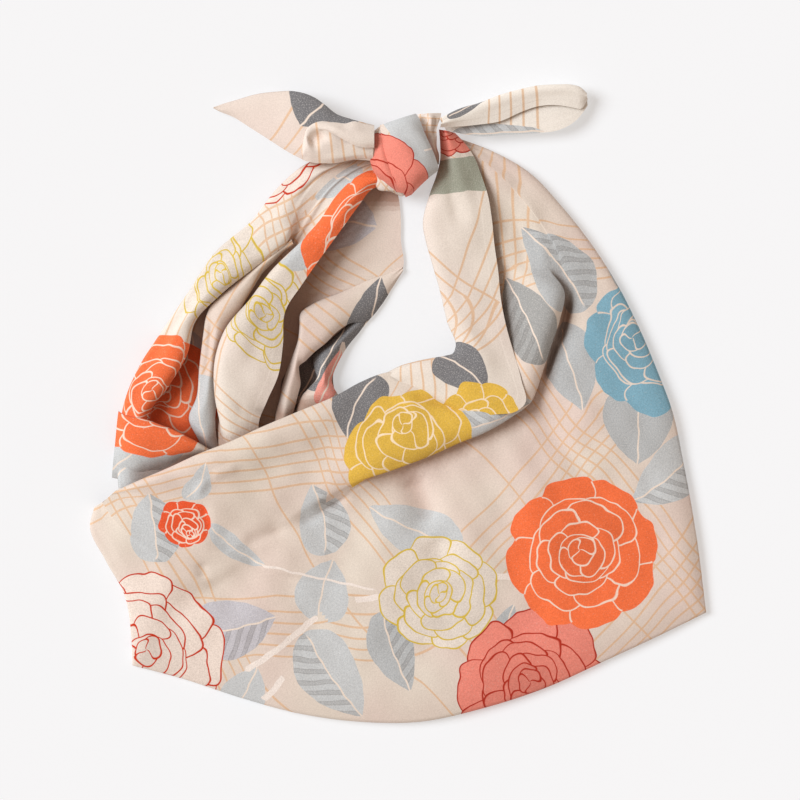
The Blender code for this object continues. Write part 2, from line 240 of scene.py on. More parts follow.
def creased(grid, rows, weight):
    """Raises or sinks a layer along short soft creases. A crease runs from one place in plan to
    another, bowed by bend, and is a bell curve of the given width and height across its line. It
    fades with the square of the distance from each end."""
    x, y = grid[..., 0], grid[..., 1]
    for start_x, start_y, end_x, end_y, bend, width, height in rows:
        way_x, way_y = end_x - start_x, end_y - start_y
        length = math.hypot(way_x, way_y)
        along = ((x - start_x) * way_x + (y - start_y) * way_y) / length**2
        off = ((y - start_y) * way_x - (x - start_x) * way_y) / length
        off = off - bend * 4 * along * (1 - along)
        begun = np.clip((along + CREASE_BEYOND) / CREASE_FADE, 0, 1)
        left = np.clip((1 + CREASE_BEYOND - along) / CREASE_FADE, 0, 1)
        grid[..., 2] += weight * height * np.exp(-((off / width) ** 2)) * (begun * left) ** 2


def uneven(grid, weight, height=0.5):
    """Lifts and sinks a layer by less than a millimetre, as a sum of five plane waves."""
    waves = ((61, 20, 0.3), (47, 105, 1.9), (33, 150, 4.1), (83, 64, 2.2), (24, 35, 5.0))
    for length, degrees, phase in waves:
        angle = math.radians(degrees)
        run = grid[..., 0] * math.cos(angle) + grid[..., 1] * math.sin(angle)
        grid[..., 2] += weight * height * 0.5 * np.sin(run * 2 * math.pi / length + phase)


def ramp(count, marks, values):
    """Weights for each row or column, straight between the values at the marks."""
    return np.interp(np.arange(count), marks, values)


def unrolled(grid, marks, anchor, start, end):
    """The place of the print on a layer: its plan place at the stop called anchor, and from there
    the true length along the section, in the plan direction from the stop start to the stop end."""
    anchor, start, end = marks[anchor], marks[start], marks[end]
    ahead = towards(grid[:, start, :2], grid[:, end, :2])
    run = np.cumsum(length_of(np.diff(grid, axis=1))[..., 0], axis=1)
    way = np.concatenate([np.zeros((len(grid), 1)), run], axis=1)
    way -= way[:, anchor, None]
    return grid[:, anchor, None, :2] + way[..., None] * ahead[:, None]


KNOT = np.array([18.0, 226.0])  # the middle of the gathers
GATHER_REACH = 150.0
GATHER = 0.7
CHECK_ANGLES = (43.0, 138.5)  # of the check lines' normals, degrees
CHECK_MIDDLE = np.array([60.0, -140.0])  # the place from which the check lines are counted
LEAN_REACH = 120.0  # to the left of their middle, where the lean is full
cloth = {"points": [], "faces": [], "place": [], "check": [], "panel": []}


def gathered(place):
    """Draws the print together near the knot, where the cloth is gathered."""
    off = place - KNOT
    near = np.clip(1 - length_of(off) / GATHER_REACH, 0, 1)
    return KNOT + off * (1 + GATHER * near**2)


def add_layer(grid, place, panel, turn=0.0, hem=NO_HEM, centre=(0.0, 0.0), shift=(0, 0), lean=0.0):
    """Adds a layer to the cloth: its points, its quads with their panel's name, the place of the
    print, and the distances that its check lines are drawn by. Those are turned about a centre, and
    shifted in mm. A lean turns the second ones, more and more to the left of their middle."""
    grid[..., 2] = np.maximum(grid[..., 2], LOWEST / 2)
    rows, columns = grid.shape[:2]
    first = sum(len(points) for points in cloth["points"])
    index = first + np.arange(rows * columns).reshape(rows, columns)
    corners = [index[:-1, :-1], index[1:, :-1], index[1:, 1:], index[:-1, 1:]]
    place = gathered(place)
    turn = np.radians(np.broadcast_to(turn, (rows, columns)))
    check = np.empty((rows, columns, 3))
    left = np.clip((CHECK_MIDDLE[0] - place[..., 0]) / LEAN_REACH, 0, 1)
    for i, (degrees, leaning) in enumerate(zip(CHECK_ANGLES, (0.0, np.radians(lean * left)))):
        check[..., i] = shift[i]
        flat = math.radians(degrees) - leaning
        for off, angle in ((place - centre, flat + turn), (centre - CHECK_MIDDLE, flat)):
            check[..., i] += off[..., 0] * np.cos(angle) + off[..., 1] * np.sin(angle)
    check[..., 2] = hem
    cloth["points"].append(grid.reshape(-1, 3))
    cloth["faces"].append(np.stack(corners, axis=-1).reshape(-1, 4))
    cloth["place"].append(place.reshape(-1, 2))
    cloth["check"].append(check.reshape(-1, 3))
    cloth["panel"].append(np.broadcast_to(panel, (rows - 1, columns - 1)).reshape(-1))


# --- Pouch and right strap: back, outer turn, front, pleat, cuff and rim ------------
# The cloth lies in one layer on the board, turns round the outline, comes back over the front, folds
# in a pleat and ends at the rolled rim of the handle loop. Its front hangs in shallow folds from the
# knot and from the pleat, and small creases run through it where it was tied and flattened by hand.

# From the knot round to the left end of the mouth: the outline, the pleat's ridge and the rim, then
# half the height of the outer turn, the front's height, the heights under and over the pleat, its
# overhang, the height between ridge and rim, and the rim's.
POUCH_ROWS = (
    (53, 232, 46, 226, 38, 217, 3, 11, 11, 11, 0, 12, 12),
    (82, 221, 72, 207, 37, 200, 4, 12, 12, 11.5, 0, 10, 10),
    (115, 202, 98, 177, 32, 169, 5, 13, 12.5, 10.5, 0, 6, 7),
    (143, 173, 120, 147, 27, 145, 5, 13.5, 13, 11, 0, 6, 7),
    (169, 140, 134, 119, 32, 124, 5, 14, 13, 15, 1, 7, 8),
    (192, 104, 144, 97, 38, 104, 5, 13, 10, 25, 14, 9, 10),
    (211, 66, 140, 73, 44, 86, 5, 15, 11, 26, 18, 10, 11),
    (227, 28, 132, 49, 49, 70, 5, 17, 12, 25, 16, 12, 13),
    (240, -7, 125, 27, 52, 58, 5, 15, 13, 24, 14, 17, 17),
    (249, -49, 120, 12, 54, 48, 4, 18, 13, 24, 13, 18, 18),
    (261, -118, 116, 3, 51, 43, 4, 17, 14, 25, 12, 19, 19),
    (269, -182, 110, -3, 46, 40, 3, 15, 14, 25, 12, 20, 20),
    (224, -204, 100, -10, 39, 39, 4, 18, 15, 26, 12, 21, 20),
    (181, -224, 89, -17, 31, 38, 4, 21, 16, 27, 12, 22, 20),
    (128, -248, 74, -25, 22, 36, 4, 19, 17, 28, 11, 24, 20),
    (72, -266, 54, -33, 11, 32, 5, 22, 18, 29, 10, 26, 20),
    (20, -277, 27, -45, -2, 29, 5, 20, 19, 30, 9, 28, 21),
    (-33, -277, -5, -57, -15, 26, 5, 22, 20, 30, 6, 29, 22),
    (-85, -270, -41, -73, -32, 19, 5, 19, 20, 28, 2, 28, 24),
    (-137, -256, -80, -94, -52, 8, 4, 21, 20, 23, 0, 28, 28),
    (-189, -239, -124, -121, -85, -6, 4, 18, 20, 22, 0, 28, 32),
    (-231, -228, -159, -136, -118, -20, 3, 17, 22, 23, 0, 29, 34),
    (-232, -201, -181, -136, -144, -32, 5, 21, 22, 24, 0, 30, 34),
    (-238, -166, -202, -123, -172, -43, 6, 20, 24, 24, 0, 29, 33),
    (-254, -137, -220, -110, -198, -55, 6, 22, 23, 24, 0, 28, 31),
    (-268, -105, -241, -92, -224, -66, 6, 18, 20, 21, 0, 24, 27),
    (-264, -90, -254, -84, -244, -75, 6, 15, 16, 17, 0, 18, 19),
)
c = table(POUCH_ROWS, "outer ridge rim", "roll crown low high tuck cuff rim_top")
inward = towards(c.outer, c.ridge)
floor_end = c.rim - towards(c.ridge, c.rim) * 7
turned = c.outer + inward * c.roll[:, None]
rim_way = c.ridge - c.rim
lip = np.minimum(LIP / length_of(rim_way), 0.5) * rim_way
stops = [
    stop(floor_end, FLOOR),
    stop(between(floor_end, turned, 0.5), FLOOR),
    *outer_turn(c.outer, inward, c.roll, FLOOR),
    stop(between(turned, c.ridge, 0.3), FLOOR + between(c.roll, c.crown, 0.7)),
    stop(between(turned, c.ridge, 0.65), c.crown),
    *pleat(c.ridge, turned, c.rim, c.tuck, c.low, c.high),
    stop(between(c.ridge, c.rim, 0.55), c.cuff),
    stop(c.rim + lip * 0.5, c.rim_top + 0.5),
    stop(c.rim, c.rim_top - 2.5),
    stop(c.rim + lip * 0.4, c.rim_top - 5),
    stop(c.rim + lip, c.rim_top - 5.5),
]
POUCH_SPACING = (14, 14, 3, 3, 3, 3, 3.8, 3.8, 3.6, 3, 3, 3, 3, 3, 3.1, 3.1, 2.5, 2.5, 2.5)
sharp = np.zeros((len(POUCH_ROWS), len(stops)))
for corner in (11, 21):
    sharp[corner, :8] = (0.6, 1, 1, 1, 1, 1, 1, 0.6)
pouch, at_row, m = surface(stops, 3.75, POUCH_SPACING, sharp)
rows, columns = pouch.shape[:2]
tucked = np.clip(ramp(rows, at_row, c.tuck) / 4, 0, 1)[:, None]
front = ramp(columns, (m[5], m[7], m[9], m[10]), (0, 1, 1, 0))
cuff = ramp(columns, (m[13], m[14], m[16], m[17]), (0, 1, 1, 0))
open_front = ramp(columns, (m[5], m[7], m[16], m[17]), (0, 1, 1, 0))
low_side = ramp(columns, (m[7], m[8], m[9], m[10]), (0, 1, 1, 0))

# start and end in plan, bend, width and height
FRONT_CREASES = (
    (-41, -76, -94, -107, 2, 7, -3.5),
    (-94, -107, -137, -125, -2, 6, -2.5),
    (-174, -81, -163, -64, 1, 4, 2.2),
    (-163, -64, -135, -54, 1, 4, 2.0),
    (-169, -84, -163, -115, 1, 4, -1.8),
    (-169, -136, -168, -153, 0, 5, -2.0),
    (-161, -105, -113, -140, 2, 6, -2.2),
    (4, -56, 30, -112, 3, 12, -7.0),
    (30, -112, 52, -148, -2, 12, -3.5),
    (-41, -76, -72, -92, 0, 4, -2.5),
    (-162, -121, -115, -145, 3, 3, -2.2),
    (-115, -145, -28, -160, -2, 2.5, -1.4),
    (-202, -123, -59, -136, 8, 12, 1.8),
    (-194, -149, -59, -171, 5, 14, -1.6),
    (80, 182, 94, 90, 4, 5, 1.6),
    (94, 182, 110, 99, 5, 5, -1.6),
    (107, 186, 128, 104, 6, 6, 1.5),
    (72, 208, 107, 191, -4, 6, 1.2),
)
# The pleat stands open a little on its outer side.
PLEAT_CREASES = (
    (149.5, 96, 137.5, 48, 2, 3.0, -10.0),
    (138.5, 56, 126, 20, 1, 2.2, -8.0),
)
CUFF_CREASES = (
    (2, 12, 68, -5, -2, 5, -3.0),
    (-20, 10, 30, 22, 4, 10, -2.0),
    (60, 10, 102, 0, 2, 5, 2.0),
)
creased(pouch, FRONT_CREASES, between(open_front, front, tucked))
creased(pouch, PLEAT_CREASES, low_side)
creased(pouch, CUFF_CREASES, cuff)
uneven(pouch, between(open_front, front + cuff, tucked))

on_front = unrolled(pouch, m, 7, 6, 9)
on_cuff = unrolled(pouch, m, 15, 14, 16)
share = ramp(columns, (m[7], m[15]), (0, 1))[:, None]
beyond = (np.arange(columns) > m[11])[:, None]
place = between(on_front, on_cuff, between(share, beyond, tucked[..., None]))
open_row = np.arange(rows - 1)[:, None] > (at_row[18] + at_row[19]) / 2
panel = np.where(open_row, "left", "cuff")
panel = np.where(np.arange(columns - 1) < m[11], "front", panel)
turn = ramp(rows, [at_row[i] for i in (0, 5, 9, 16, 19)], (-44, -36, 0, 0, -14))
centre = np.where(np.arange(rows)[:, None, None] < at_row[12], (150.0, 42.0), (-40.0, -130.0))
add_layer(pouch, place, panel, turn[:, None], centre=centre, lean=26.0)

# --- Right strap's flap ------------
# The top layer of the right strap, from the knot down to the crease in the cuff where it sinks in.
# Its left side is a folded edge at the loop, its right side the sewn hem of the cloth.

FLAP_ROWS = (
    (36, 238, 50, 235, 18, 22, 15),
    (37, 225, 60, 224, 17, 23, 15),
    (37, 212, 67, 213, 17, 24, 16),
    (34, 199, 72, 200, 18, 24, 17),
    (28, 182, 78, 182, 18, 21, 18),
    (22, 154, 82, 158, 18, 20, 18),
    (24, 143, 84, 138, 18, 21, 17),
    (29, 125, 87, 117, 19, 20, 18),
    (37, 97, 90, 88, 19, 21, 19),
    (43, 71, 95, 64, 20, 22, 20),
    (50, 48, 101, 43, 23, 25, 22),
    (48, 44, 107, 21, 24, 28, 27),
    (42, 42, 110, 0, 24, 30, 30),
    (30, 40, 103, -6, 24, 30, 31),
    (16, 37, 84, -9, 24, 29, 30),
    (2, 33, 62, -10, 22, 26, 27),
    (-10, 27, 37, -2, 20, 21, 19),
)
FLAP_CREASES = (
    (38, 210, 52, 150, 2, 5, -1.4),
    (50, 212, 66, 140, 3, 6, 1.3),
    (40, 95, 92, 20, -4, 10, 1.5),
    (30, 8, 100, -2, 1, 5, 1.2),
)
c = table(FLAP_ROWS, "fold hem", "fold_top middle hem_top")
across = towards(c.fold, c.hem)
flap, at_row, m = surface([
    stop(c.fold + across * LIP, c.fold_top - 6),
    stop(c.fold + across * 4, c.fold_top - 6),
    stop(c.fold, c.fold_top - 3),
    stop(c.fold + across * 4, c.fold_top),
    stop(between(c.fold, c.hem, 0.35), c.middle),
    stop(between(c.fold, c.hem, 0.7), between(c.middle, c.hem_top, 0.4)),
    stop(c.hem, c.hem_top),
], 2.8, 2.6)
rows, columns = flap.shape[:2]
top = ramp(columns, (m[3], m[4]), (0, 1))
creased(flap, FLAP_CREASES, top)
uneven(flap, top, 0.4)
place = unrolled(flap, m, 4, 3, 6)
from_hem = length_of(place - place[:, -1:])[..., 0]
turn = ramp(rows, [at_row[i] for i in (0, 8, 11, 16)], (18, 17, -40, -40))
add_layer(flap, place, "flap", turn[:, None], from_hem, centre=(31.0, 120.0))

# --- Left strap ------------
# It comes down from the knot and goes into the mouth behind the front: a bottom layer from the loop,
# an outer roll, a sunk fold and a fold with the sewn hem on top.

STRAP_ROWS = (
    (-22, 231, -20, 215, -17, 205, -14, 190, -5, 197, 6, 19, 0, 18, 22, 16, 5),
    (-46, 219, -41, 207, -33, 198, -22, 186, 0, 184, 7, 20, 0, 18, 23, 17, 4),
    (-80, 209, -65, 191, -51, 182, -34, 171, 2, 173, 8, 21, 0, 18, 25, 21, 3),
    (-104, 189, -83, 167, -67, 159, -47, 153, 3, 160, 8, 23, 1, 17, 27, 24, 3),
    (-127, 160, -96, 138, -88, 137, -63, 131, 3, 143, 8, 24, 3, 12, 28, 25, 3),
    (-160, 131, -123, 119, -109, 115, -82, 104, 5, 119, 8, 26, 8, 7, 29, 25, 3),
    (-182, 98, -153, 95, -127, 91, -97, 80, -8, 97, 8, 27, 9, 5, 30, 26, 3),
    (-205, 64, -176, 70, -149, 64, -99, 51, -27, 70, 8, 27, 10, 5, 31, 28, 3),
    (-225, 33, -182, 44, -157, 41, -103, 25, -45, 50, 8, 27, 9, 5, 31, 28, 3),
    (-238, 2, -198, 16, -158, 9, -113, 2, -56, 24, 8, 25, 7, 5, 29, 25, 3),
    (-243, -31, -214, -9, -155, -21, -120, -16, -54, 7, 7, 18, 3, 5, 25, 20, 3),
    (-244, -64, -205, -42, -153, -38, -118, -36, -52, -18, 6, 13, 2, 4, 19, 14, 3),
    (-240, -94, -167, -75, -147, -70, -118, -62, -52, -44, 5, 9, 1, 3, 12, 9, 3),
)
STRAP_CREASES = (
    (-50, 208, -130, 140, 4, 5, 1.3),
    (-70, 200, -150, 118, 6, 5, -1.3),
    (-40, 200, -110, 130, -3, 4, 1.2),
    (-232, 22, -196, 36, 2, 6, -1.5),
    (-98, -4, -146, 8, 10, 4, -2.4),
    (-125, 100, -140, 30, 4, 8, 1.4),
    (-62, 130, -100, 70, 2, 8, 1.6),
)
BASE_CREASES = (
    (-97, 76, -20, 112, 0, 5, 2.0),
    (-90, 86, -10, 140, 3, 7, 1.6),
    (-20, 190, -90, 100, 3, 8, 1.5),
)
c = table(STRAP_ROWS, "outer roll fold hem loop", "bulge crest tuck low crown hem_top loop_top")
inward = towards(c.outer, c.loop)
turned = c.outer + inward * c.bulge[:, None]
base = FLOOR + 1.0
strap, at_row, m = surface([
    stop(c.loop, c.loop_top),
    stop(between(c.loop, turned, 0.12), between(base, c.loop_top, 0.3)),
    stop(between(c.loop, turned, 0.5), base),
    *outer_turn(c.outer, inward, c.bulge, base),
    stop(between(turned, c.roll, 0.5), c.crest),
    *reversed(pleat(c.roll, c.fold, turned, c.tuck, c.low, c.crest - 2)),
    stop(between(c.roll, c.fold, 0.5), c.low + 1),
    *pleat(c.fold, c.roll, c.hem, c.tuck, c.low, c.crown - 1),
    stop(between(c.fold, c.hem, 0.6), c.crown),
    stop(c.hem, c.hem_top),
], 3.0, (4.8,) * 3 + (3,) * 4 + (2.9,) * 16)
rows, columns = strap.shape[:2]
top = ramp(columns, (m[6], m[8], m[9], m[10], m[20], m[21]), (0, 1, 1, 0, 0, 1))
creased(strap, STRAP_CREASES, top)
uneven(strap, top, 0.5)
creased(strap, BASE_CREASES, ramp(columns, m[:4], (0, 1, 1, 0)))
place, panel = unrolled(strap, m, 1, 0, 3), "strap_base"
# each further piece of the print: the stops at which it begins and from which it is unrolled
for begin, anchor, name in ((4, 8, "strap_roll"), (12, 15, "strap_low"), (18, 22, "strap_fold")):
    on_piece = unrolled(strap, m, anchor, 3, 0)
    begun = np.arange(columns) > m[begin] - (begin == 4)
    place = np.where(begun[:, None], on_piece, place)
    panel = np.where(begun[:-1], name, panel)
from_hem = length_of(on_piece - on_piece[:, -1:])[..., 0]
turn = ramp(rows, [at_row[i] for i in (0, 4, 8, 12)], (-8, 0, 20, 30))
add_layer(strap, place, panel, turn[:, None], from_hem, (-130.0, 110.0), (59, -42))

# --- Narrow folds of the strap and of the inside ------------
# Between the outer roll and the fold with the hem lies a narrow fold, and at the mouth the roll is
# tucked behind a facet. Two folds of the cloth's inside run from the loop's side down to the mouth.

MIDDLE_FOLD_ROWS = (
    (-92, 143, -90, 138, 18, 18, 18),
    (-102, 136, -97, 133, 18, 20, 18),
    (-114, 128, -106, 124, 18, 21, 18),
    (-127, 118, -117, 113, 17, 21, 18),
    (-142, 104, -124, 102, 17, 22, 19),
    (-157, 91, -132, 89, 18, 24, 20),
    (-162, 85, -137, 80, 19, 25, 20),
    (-166, 75, -145, 70, 20, 25, 20),
    (-168, 62, -149, 59, 20, 25, 19),
    (-170, 47, -154, 44, 19, 24, 18),
    (-172, 29, -156, 27, 18, 23, 17),
    (-174, 7, -156, 6, 16, 21, 16),
    (-181, -13, -158, -13, 13, 18, 14),
    (-174, -29, -157, -29, 9, 14, 11),
    (-167, -42, -155, -40, 5, 8, 7),
)
# The facet, from the outline inwards: its upper edge is a fold over the roll's end.
FACET_ROWS = (
    (-242, -6, -248, -64, 13, 13, 8),
    (-237, -9, -238, -66, 19, 19, 9),
    (-228, -11, -228, -66, 22, 22, 10),
    (-218, -13, -218, -63, 24, 23, 10),
    (-207, -17, -207, -59, 25, 23, 11),
    (-194, -22, -196, -56, 25, 23, 12),
    (-182, -28, -184, -52, 24, 22, 12),
    (-171, -34, -173, -49, 21, 19, 12),
    (-161, -40, -162, -46, 17, 15, 11),
)
LIGHT_FOLD_ROWS = (
    (4, 119, 5, 116, 4, 4, 4),
    (-11, 113, -5, 100, 4, 6, 4),
    (-26, 108, -14, 86, 4, 8, 5),
    (-39, 102, -27, 72, 5, 11, 6),
    (-50, 97, -41, 70, 7, 14, 11),
    (-63, 92, -52, 63, 10, 17, 15),
    (-75, 86, -62, 53, 13, 19, 17),
    (-84, 79, -73, 44, 15, 20, 18),
    (-85, 68, -80, 37, 16, 21, 19),
    (-86, 57, -85, 33, 17, 21, 19),
    (-91, 42, -85, 27, 17, 21, 18),
    (-96, 30, -84, 18, 16, 20, 17),
    (-100, 17, -86, 9, 15, 19, 16),
    (-103, 3, -88, 1, 13, 17, 14),
    (-106, -10, -91, -10, 10, 14, 11),
    (-107, -26, -92, -26, 6, 9, 7),
)
LOOP_FOLD_ROWS = (
    (-37, 75, -23, 77, 3, 4, 3),
    (-47, 66, -32, 64, 4, 8, 5),
    (-60, 54, -44, 49, 6, 12, 7),
    (-73, 42, -51, 37, 8, 15, 9),
    (-72, 30, -55, 28, 10, 16, 10),
    (-70, 23, -57, 21, 12, 17, 11),
    (-77, 14, -55, 14, 12, 17, 13),
    (-84, 6, -52, 9, 11, 16, 13),
    (-87, -1, -49, 4, 9, 14, 12),
    (-90, -17, -48, -14, 5, 9, 6),
)


def add_band(rows, lip, panel, creases=(), spacing=2.2, **print_settings):
    """Lays a smooth band between two edges, each turned down and under by the lip, with its creases
    and its print unrolled from the middle. A row has the two edges, and three heights across."""
    c = table(rows, "left right", "left_top middle right_top")
    across = towards(c.left, c.right)
    width = length_of(c.right - c.left)
    drop = np.minimum(4, width[:, 0] * 0.2)
    shoulder = across * np.minimum(3, width * 0.2)
    band, _, m = surface([
        stop(c.left + across * np.minimum(lip, width * 0.35), np.maximum(c.left_top - drop, LOWEST)),
        stop(c.left, np.maximum(c.left_top - 1.5, LOWEST)),
        stop(c.left + shoulder, c.left_top + 1),
        stop(between(c.left, c.right, 0.5), c.middle),
        stop(c.right - shoulder, c.right_top + 1),
        stop(c.right, np.maximum(c.right_top - 1.5, LOWEST)),
    ], spacing, spacing)
    creased(band, creases, ramp(band.shape[1], (m[1], m[2], m[4], m[5]), (0, 1, 1, 0)))
    place = unrolled(band, m, 3, 1, 5)
    add_layer(band, place, panel, **print_settings)


MIDDLE_FOLD_CREASES = ((-160, 80, -168, 12, 1, 3.0, -4.0), (-130, 96, -105, 120, 0, 4, 1.0))
LIGHT_FOLD_CREASES = ((-86, 58, -106, -12, 3, 4, 1.5), (-66, 82, -20, 100, 2, 5, 1.2))
add_band(MIDDLE_FOLD_ROWS, 4, "middle_fold", MIDDLE_FOLD_CREASES, turn=10, centre=(-130.0, 110.0))
add_band(FACET_ROWS, 5, "facet", turn=30, centre=(-130.0, 110.0))
add_band(LIGHT_FOLD_ROWS, 3, "light_fold", LIGHT_FOLD_CREASES, shift=(87, -16))
add_band(LOOP_FOLD_ROWS, 6, "loop_fold", turn=60, centre=(-50.0, 40.0))

# --- Ears ------------
# The two free corners of the cloth beyond the knot. The left one tapers to its point, with its lower
# edge rolled over. The right one is folded double, and its open end shows the inside.

# The left ear, from the knot to its tip: the upper and lower edges and the heights across.
LEFT_EAR_ROWS = (
    (-20, 241, -20, 210, 30, 35, 29),
    (-39, 246, -37, 211, 29, 34, 29),
    (-53, 251, -53, 208, 27, 32, 28),
    (-63, 259, -66, 208, 25, 30, 27),
    (-73, 266, -80, 211, 22, 28, 24),
    (-89, 271, -94, 218, 18, 24, 19),
    (-106, 271, -111, 229, 13, 18, 14),
    (-123, 269, -128, 240, 9, 13, 9),
    (-141, 264, -144, 250, 6, 8, 6),
    (-152, 261, -154, 254, 4, 5, 4),
    (-160, 258, -160, 257, 3, 3, 3),
)
# The lower edge of that ear is rolled up towards the knot in a scoop with a round rim, and the hemmed
# lip above it comes down over the hollow.
CURL_ROWS = (
    (-83, 219, -82, 211, 28, 30, 27),
    (-81, 229, -79, 210, 31, 34, 29),
    (-78, 238, -75, 209, 33, 37, 30),
    (-73, 242, -70, 208, 34, 38, 30),
    (-66, 244, -63, 208, 35, 37, 31),
    (-56, 243, -54, 208, 35, 36, 31),
    (-45, 242, -45, 210, 34, 35, 31),
    (-34, 239, -34, 212, 33, 36, 31),
    (-21, 237, -21, 212, 32, 36, 31),
)
LIP_ROWS = (
    (-68, 243, -68, 236, 36, 37, 36),
    (-61, 243, -61, 235, 37, 39, 38),
    (-54, 243, -54, 232, 37, 41, 40),
    (-45, 242, -45, 227, 37, 42, 41),
    (-37, 244, -37, 223, 36, 42, 41),
    (-29, 242, -29, 221, 35, 42, 41),
    (-20, 240, -20, 221, 34, 41, 40),
)
LEFT_EAR_CREASES = ((-30, 236, -110, 250, 4, 6, 1.4), (-72, 236, -66, 214, 2, 6, -7.0))
LEFT_EAR_PRINT = {"turn": 8, "centre": (-100.0, 250.0), "shift": (-110, -69)}
CURL_CREASES = ((-75, 221, -61, 234, 4, 6, -9.0), (-66, 212, -20, 213, 0, 4, 1.5))
CURL_PRINT = {"turn": 48, "centre": (-61.0, 221.0), "shift": (40, 96)}
add_band(LEFT_EAR_ROWS, 8, "ear_left", LEFT_EAR_CREASES, **LEFT_EAR_PRINT)
add_band(CURL_ROWS, 4, "ear_curl", CURL_CREASES, 1.6, **CURL_PRINT)
add_band(LIP_ROWS, 3, "ear_lip", spacing=1.6, centre=(-50.0, 225.0), shift=(30, 20))

# The right ear, from the knot to its end: the folded upper edge and the hems of its two layers, then
# the height of the low layer, half that of the fold, and the heights of the top layer and its hem.
RIGHT_EAR_ROWS = (
    (36, 248, 37, 239, 42, 237, 20, 4, 31, 28),
    (54, 257, 52, 240, 57, 234, 15, 4, 25, 23),
    (71, 262, 71, 242, 73, 232, 14, 4, 21, 19),
    (89, 269, 89, 245, 89, 233, 13, 4, 19, 17),
    (107, 274, 107, 253, 107, 234, 13, 3.5, 18.5, 16),
    (121, 277, 122, 258, 123, 235, 13, 3.5, 18, 16),
    (138, 278, 139, 259, 141, 238, 13, 3.5, 17.5, 16),
    (150, 278, 152, 257, 155, 246, 12, 3.5, 17, 15),
    (158, 276, 159, 256, 161, 253, 11, 3.5, 16, 14),
    (164, 271, 165, 264, 165, 259, 10, 3, 14, 12),
)
c = table(RIGHT_EAR_ROWS, "fold top low", "base roll crown hem")
inward = towards(c.fold, c.low)
turned = c.fold + inward * c.roll[:, None]
ear, _, m = surface([
    stop(c.low, c.base),
    stop(between(c.low, turned, 0.5), c.base),
    *outer_turn(c.fold, inward, c.roll, c.base),
    stop(between(turned, c.top, 0.5), c.crown),
    stop(c.top, c.hem),
], 2.2, 2.0)
columns = ear.shape[1]
on_low = (np.arange(columns) < m[3])[:, None]
place = np.where(on_low, unrolled(ear, m, 1, 0, 4), unrolled(ear, m, 7, 4, 0))
panel = np.where(np.arange(columns - 1) < m[4], "ear_low", "ear_right")
low_hem = ramp(columns, (0, 4, columns), (0, HEM, NO_HEM))
top_hem = ramp(columns, (0, columns - 5, columns - 1), (NO_HEM, HEM, 0))
add_layer(ear, place, panel, -34, np.minimum(low_hem, top_hem), (110.0, 260.0), (3, -18))

# --- Knot ------------
# A plain single knot of the two upper corners: a broad band of the left corner goes slantwise over
# the front, a strip of it shows below, and the right corner's cloth is pinched behind it.

# The broad band, from its top to the fold at its foot.
KNOT_BAND_ROWS = (
    (-15, 241, 16, 251, 28, 34, 30),
    (-15, 238, 19, 246, 33, 39, 34),
    (-14, 229, 23, 235, 36, 43, 37),
    (-12, 218, 29, 222, 38, 45, 38),
    (-8, 206, 33, 212, 38, 45, 37),
    (-4, 195, 35, 202, 36, 43, 35),
    (1, 186, 29, 197, 32, 38, 31),
    (6, 181, 19, 188, 26, 30, 25),
    (7, 179, 12, 181, 20, 22, 20),
)
# The strip beside it, tucked under its left edge, and the turn of cloth below that.
KNOT_SIDE_ROWS = (
    (-16, 240, -8, 239, 24, 29, 27),
    (-23, 233, -6, 231, 27, 34, 30),
    (-25, 224, -3, 221, 29, 37, 32),
    (-24, 211, 0, 208, 29, 38, 33),
    (-20, 200, 5, 196, 28, 36, 31),
    (-12, 191, 9, 186, 25, 32, 28),
    (-3, 184, 11, 181, 20, 25, 22),
)
KNOT_UNDER_ROWS = (
    (-24, 216, -12, 214, 20, 26, 24),
    (-23, 205, -8, 202, 20, 27, 25),
    (-20, 192, -3, 190, 20, 26, 24),
    (-17, 186, 2, 185, 18, 23, 21),
    (-6, 184, 6, 183, 16, 20, 18),
    (3, 180, 8, 181, 14, 16, 14),
)
PINCH_ROWS = (
    (17, 251, 38, 252, 20, 24, 19),
    (19, 246, 37, 247, 26, 31, 25),
    (21, 238, 34, 238, 28, 32, 26),
    (25, 229, 34, 230, 26, 30, 25),
    (28, 222, 34, 223, 23, 26, 22),
    (32, 215, 36, 216, 18, 20, 17),
    (33, 207, 36, 208, 12, 14, 12),
)
KNOT_CREASES = ((-6, 240, 24, 206, 3, 5, -1.6), (4, 246, 34, 214, 2, 4, 1.0))
PINCH_CREASES = ((23, 252, 30, 224, 1, 2.5, -4.0), (33, 250, 32, 230, 0, 2.0, -2.5))
add_band(KNOT_UNDER_ROWS, 4, "knot_under", spacing=1.8)
add_band(KNOT_SIDE_ROWS, 4, "knot", spacing=1.6, turn=20, centre=(0.0, 210.0))
add_band(KNOT_BAND_ROWS, 5, "knot", KNOT_CREASES, 1.6, turn=20, centre=(0.0, 210.0))
add_band(PINCH_ROWS, 3, "pinch", PINCH_CREASES, 1.5, turn=40)

# --- The whole cloth as one mesh ------------
# One square of crepe, 70 cm a side. It stands in for the plain solid of the frame.

points, faces, place, check, panel = (np.concatenate(part) for part in cloth.values())
mesh = bpy.data.meshes.new("furoshiki_cloth_print")
mesh.from_pydata((points * MM).tolist(), [], faces.tolist())
mesh.polygons.foreach_set("use_smooth", np.ones(len(faces), bool))
mesh.update()
wrap = new_object("furoshiki_cloth_print", mesh)


def keep(name, domain, values):
    """Keeps a vector for each point, face or corner of the cloth, for its material to read."""
    attribute = mesh.attributes.new(name, "FLOAT_VECTOR", domain)
    attribute.data.foreach_set("vector", np.ascontiguousarray(values, np.float32).reshape(-1))


# --- Print: blossoms and leaves ------------
# Hand-dyed camellias and leaves, each drawn by a formula of its own on the unrolled cloth. A row is
# one motif: the panel it is on, its middle in mm, its size, its turn and its kind. A blossom may also
# have its heart off its middle, by a share of its radius.

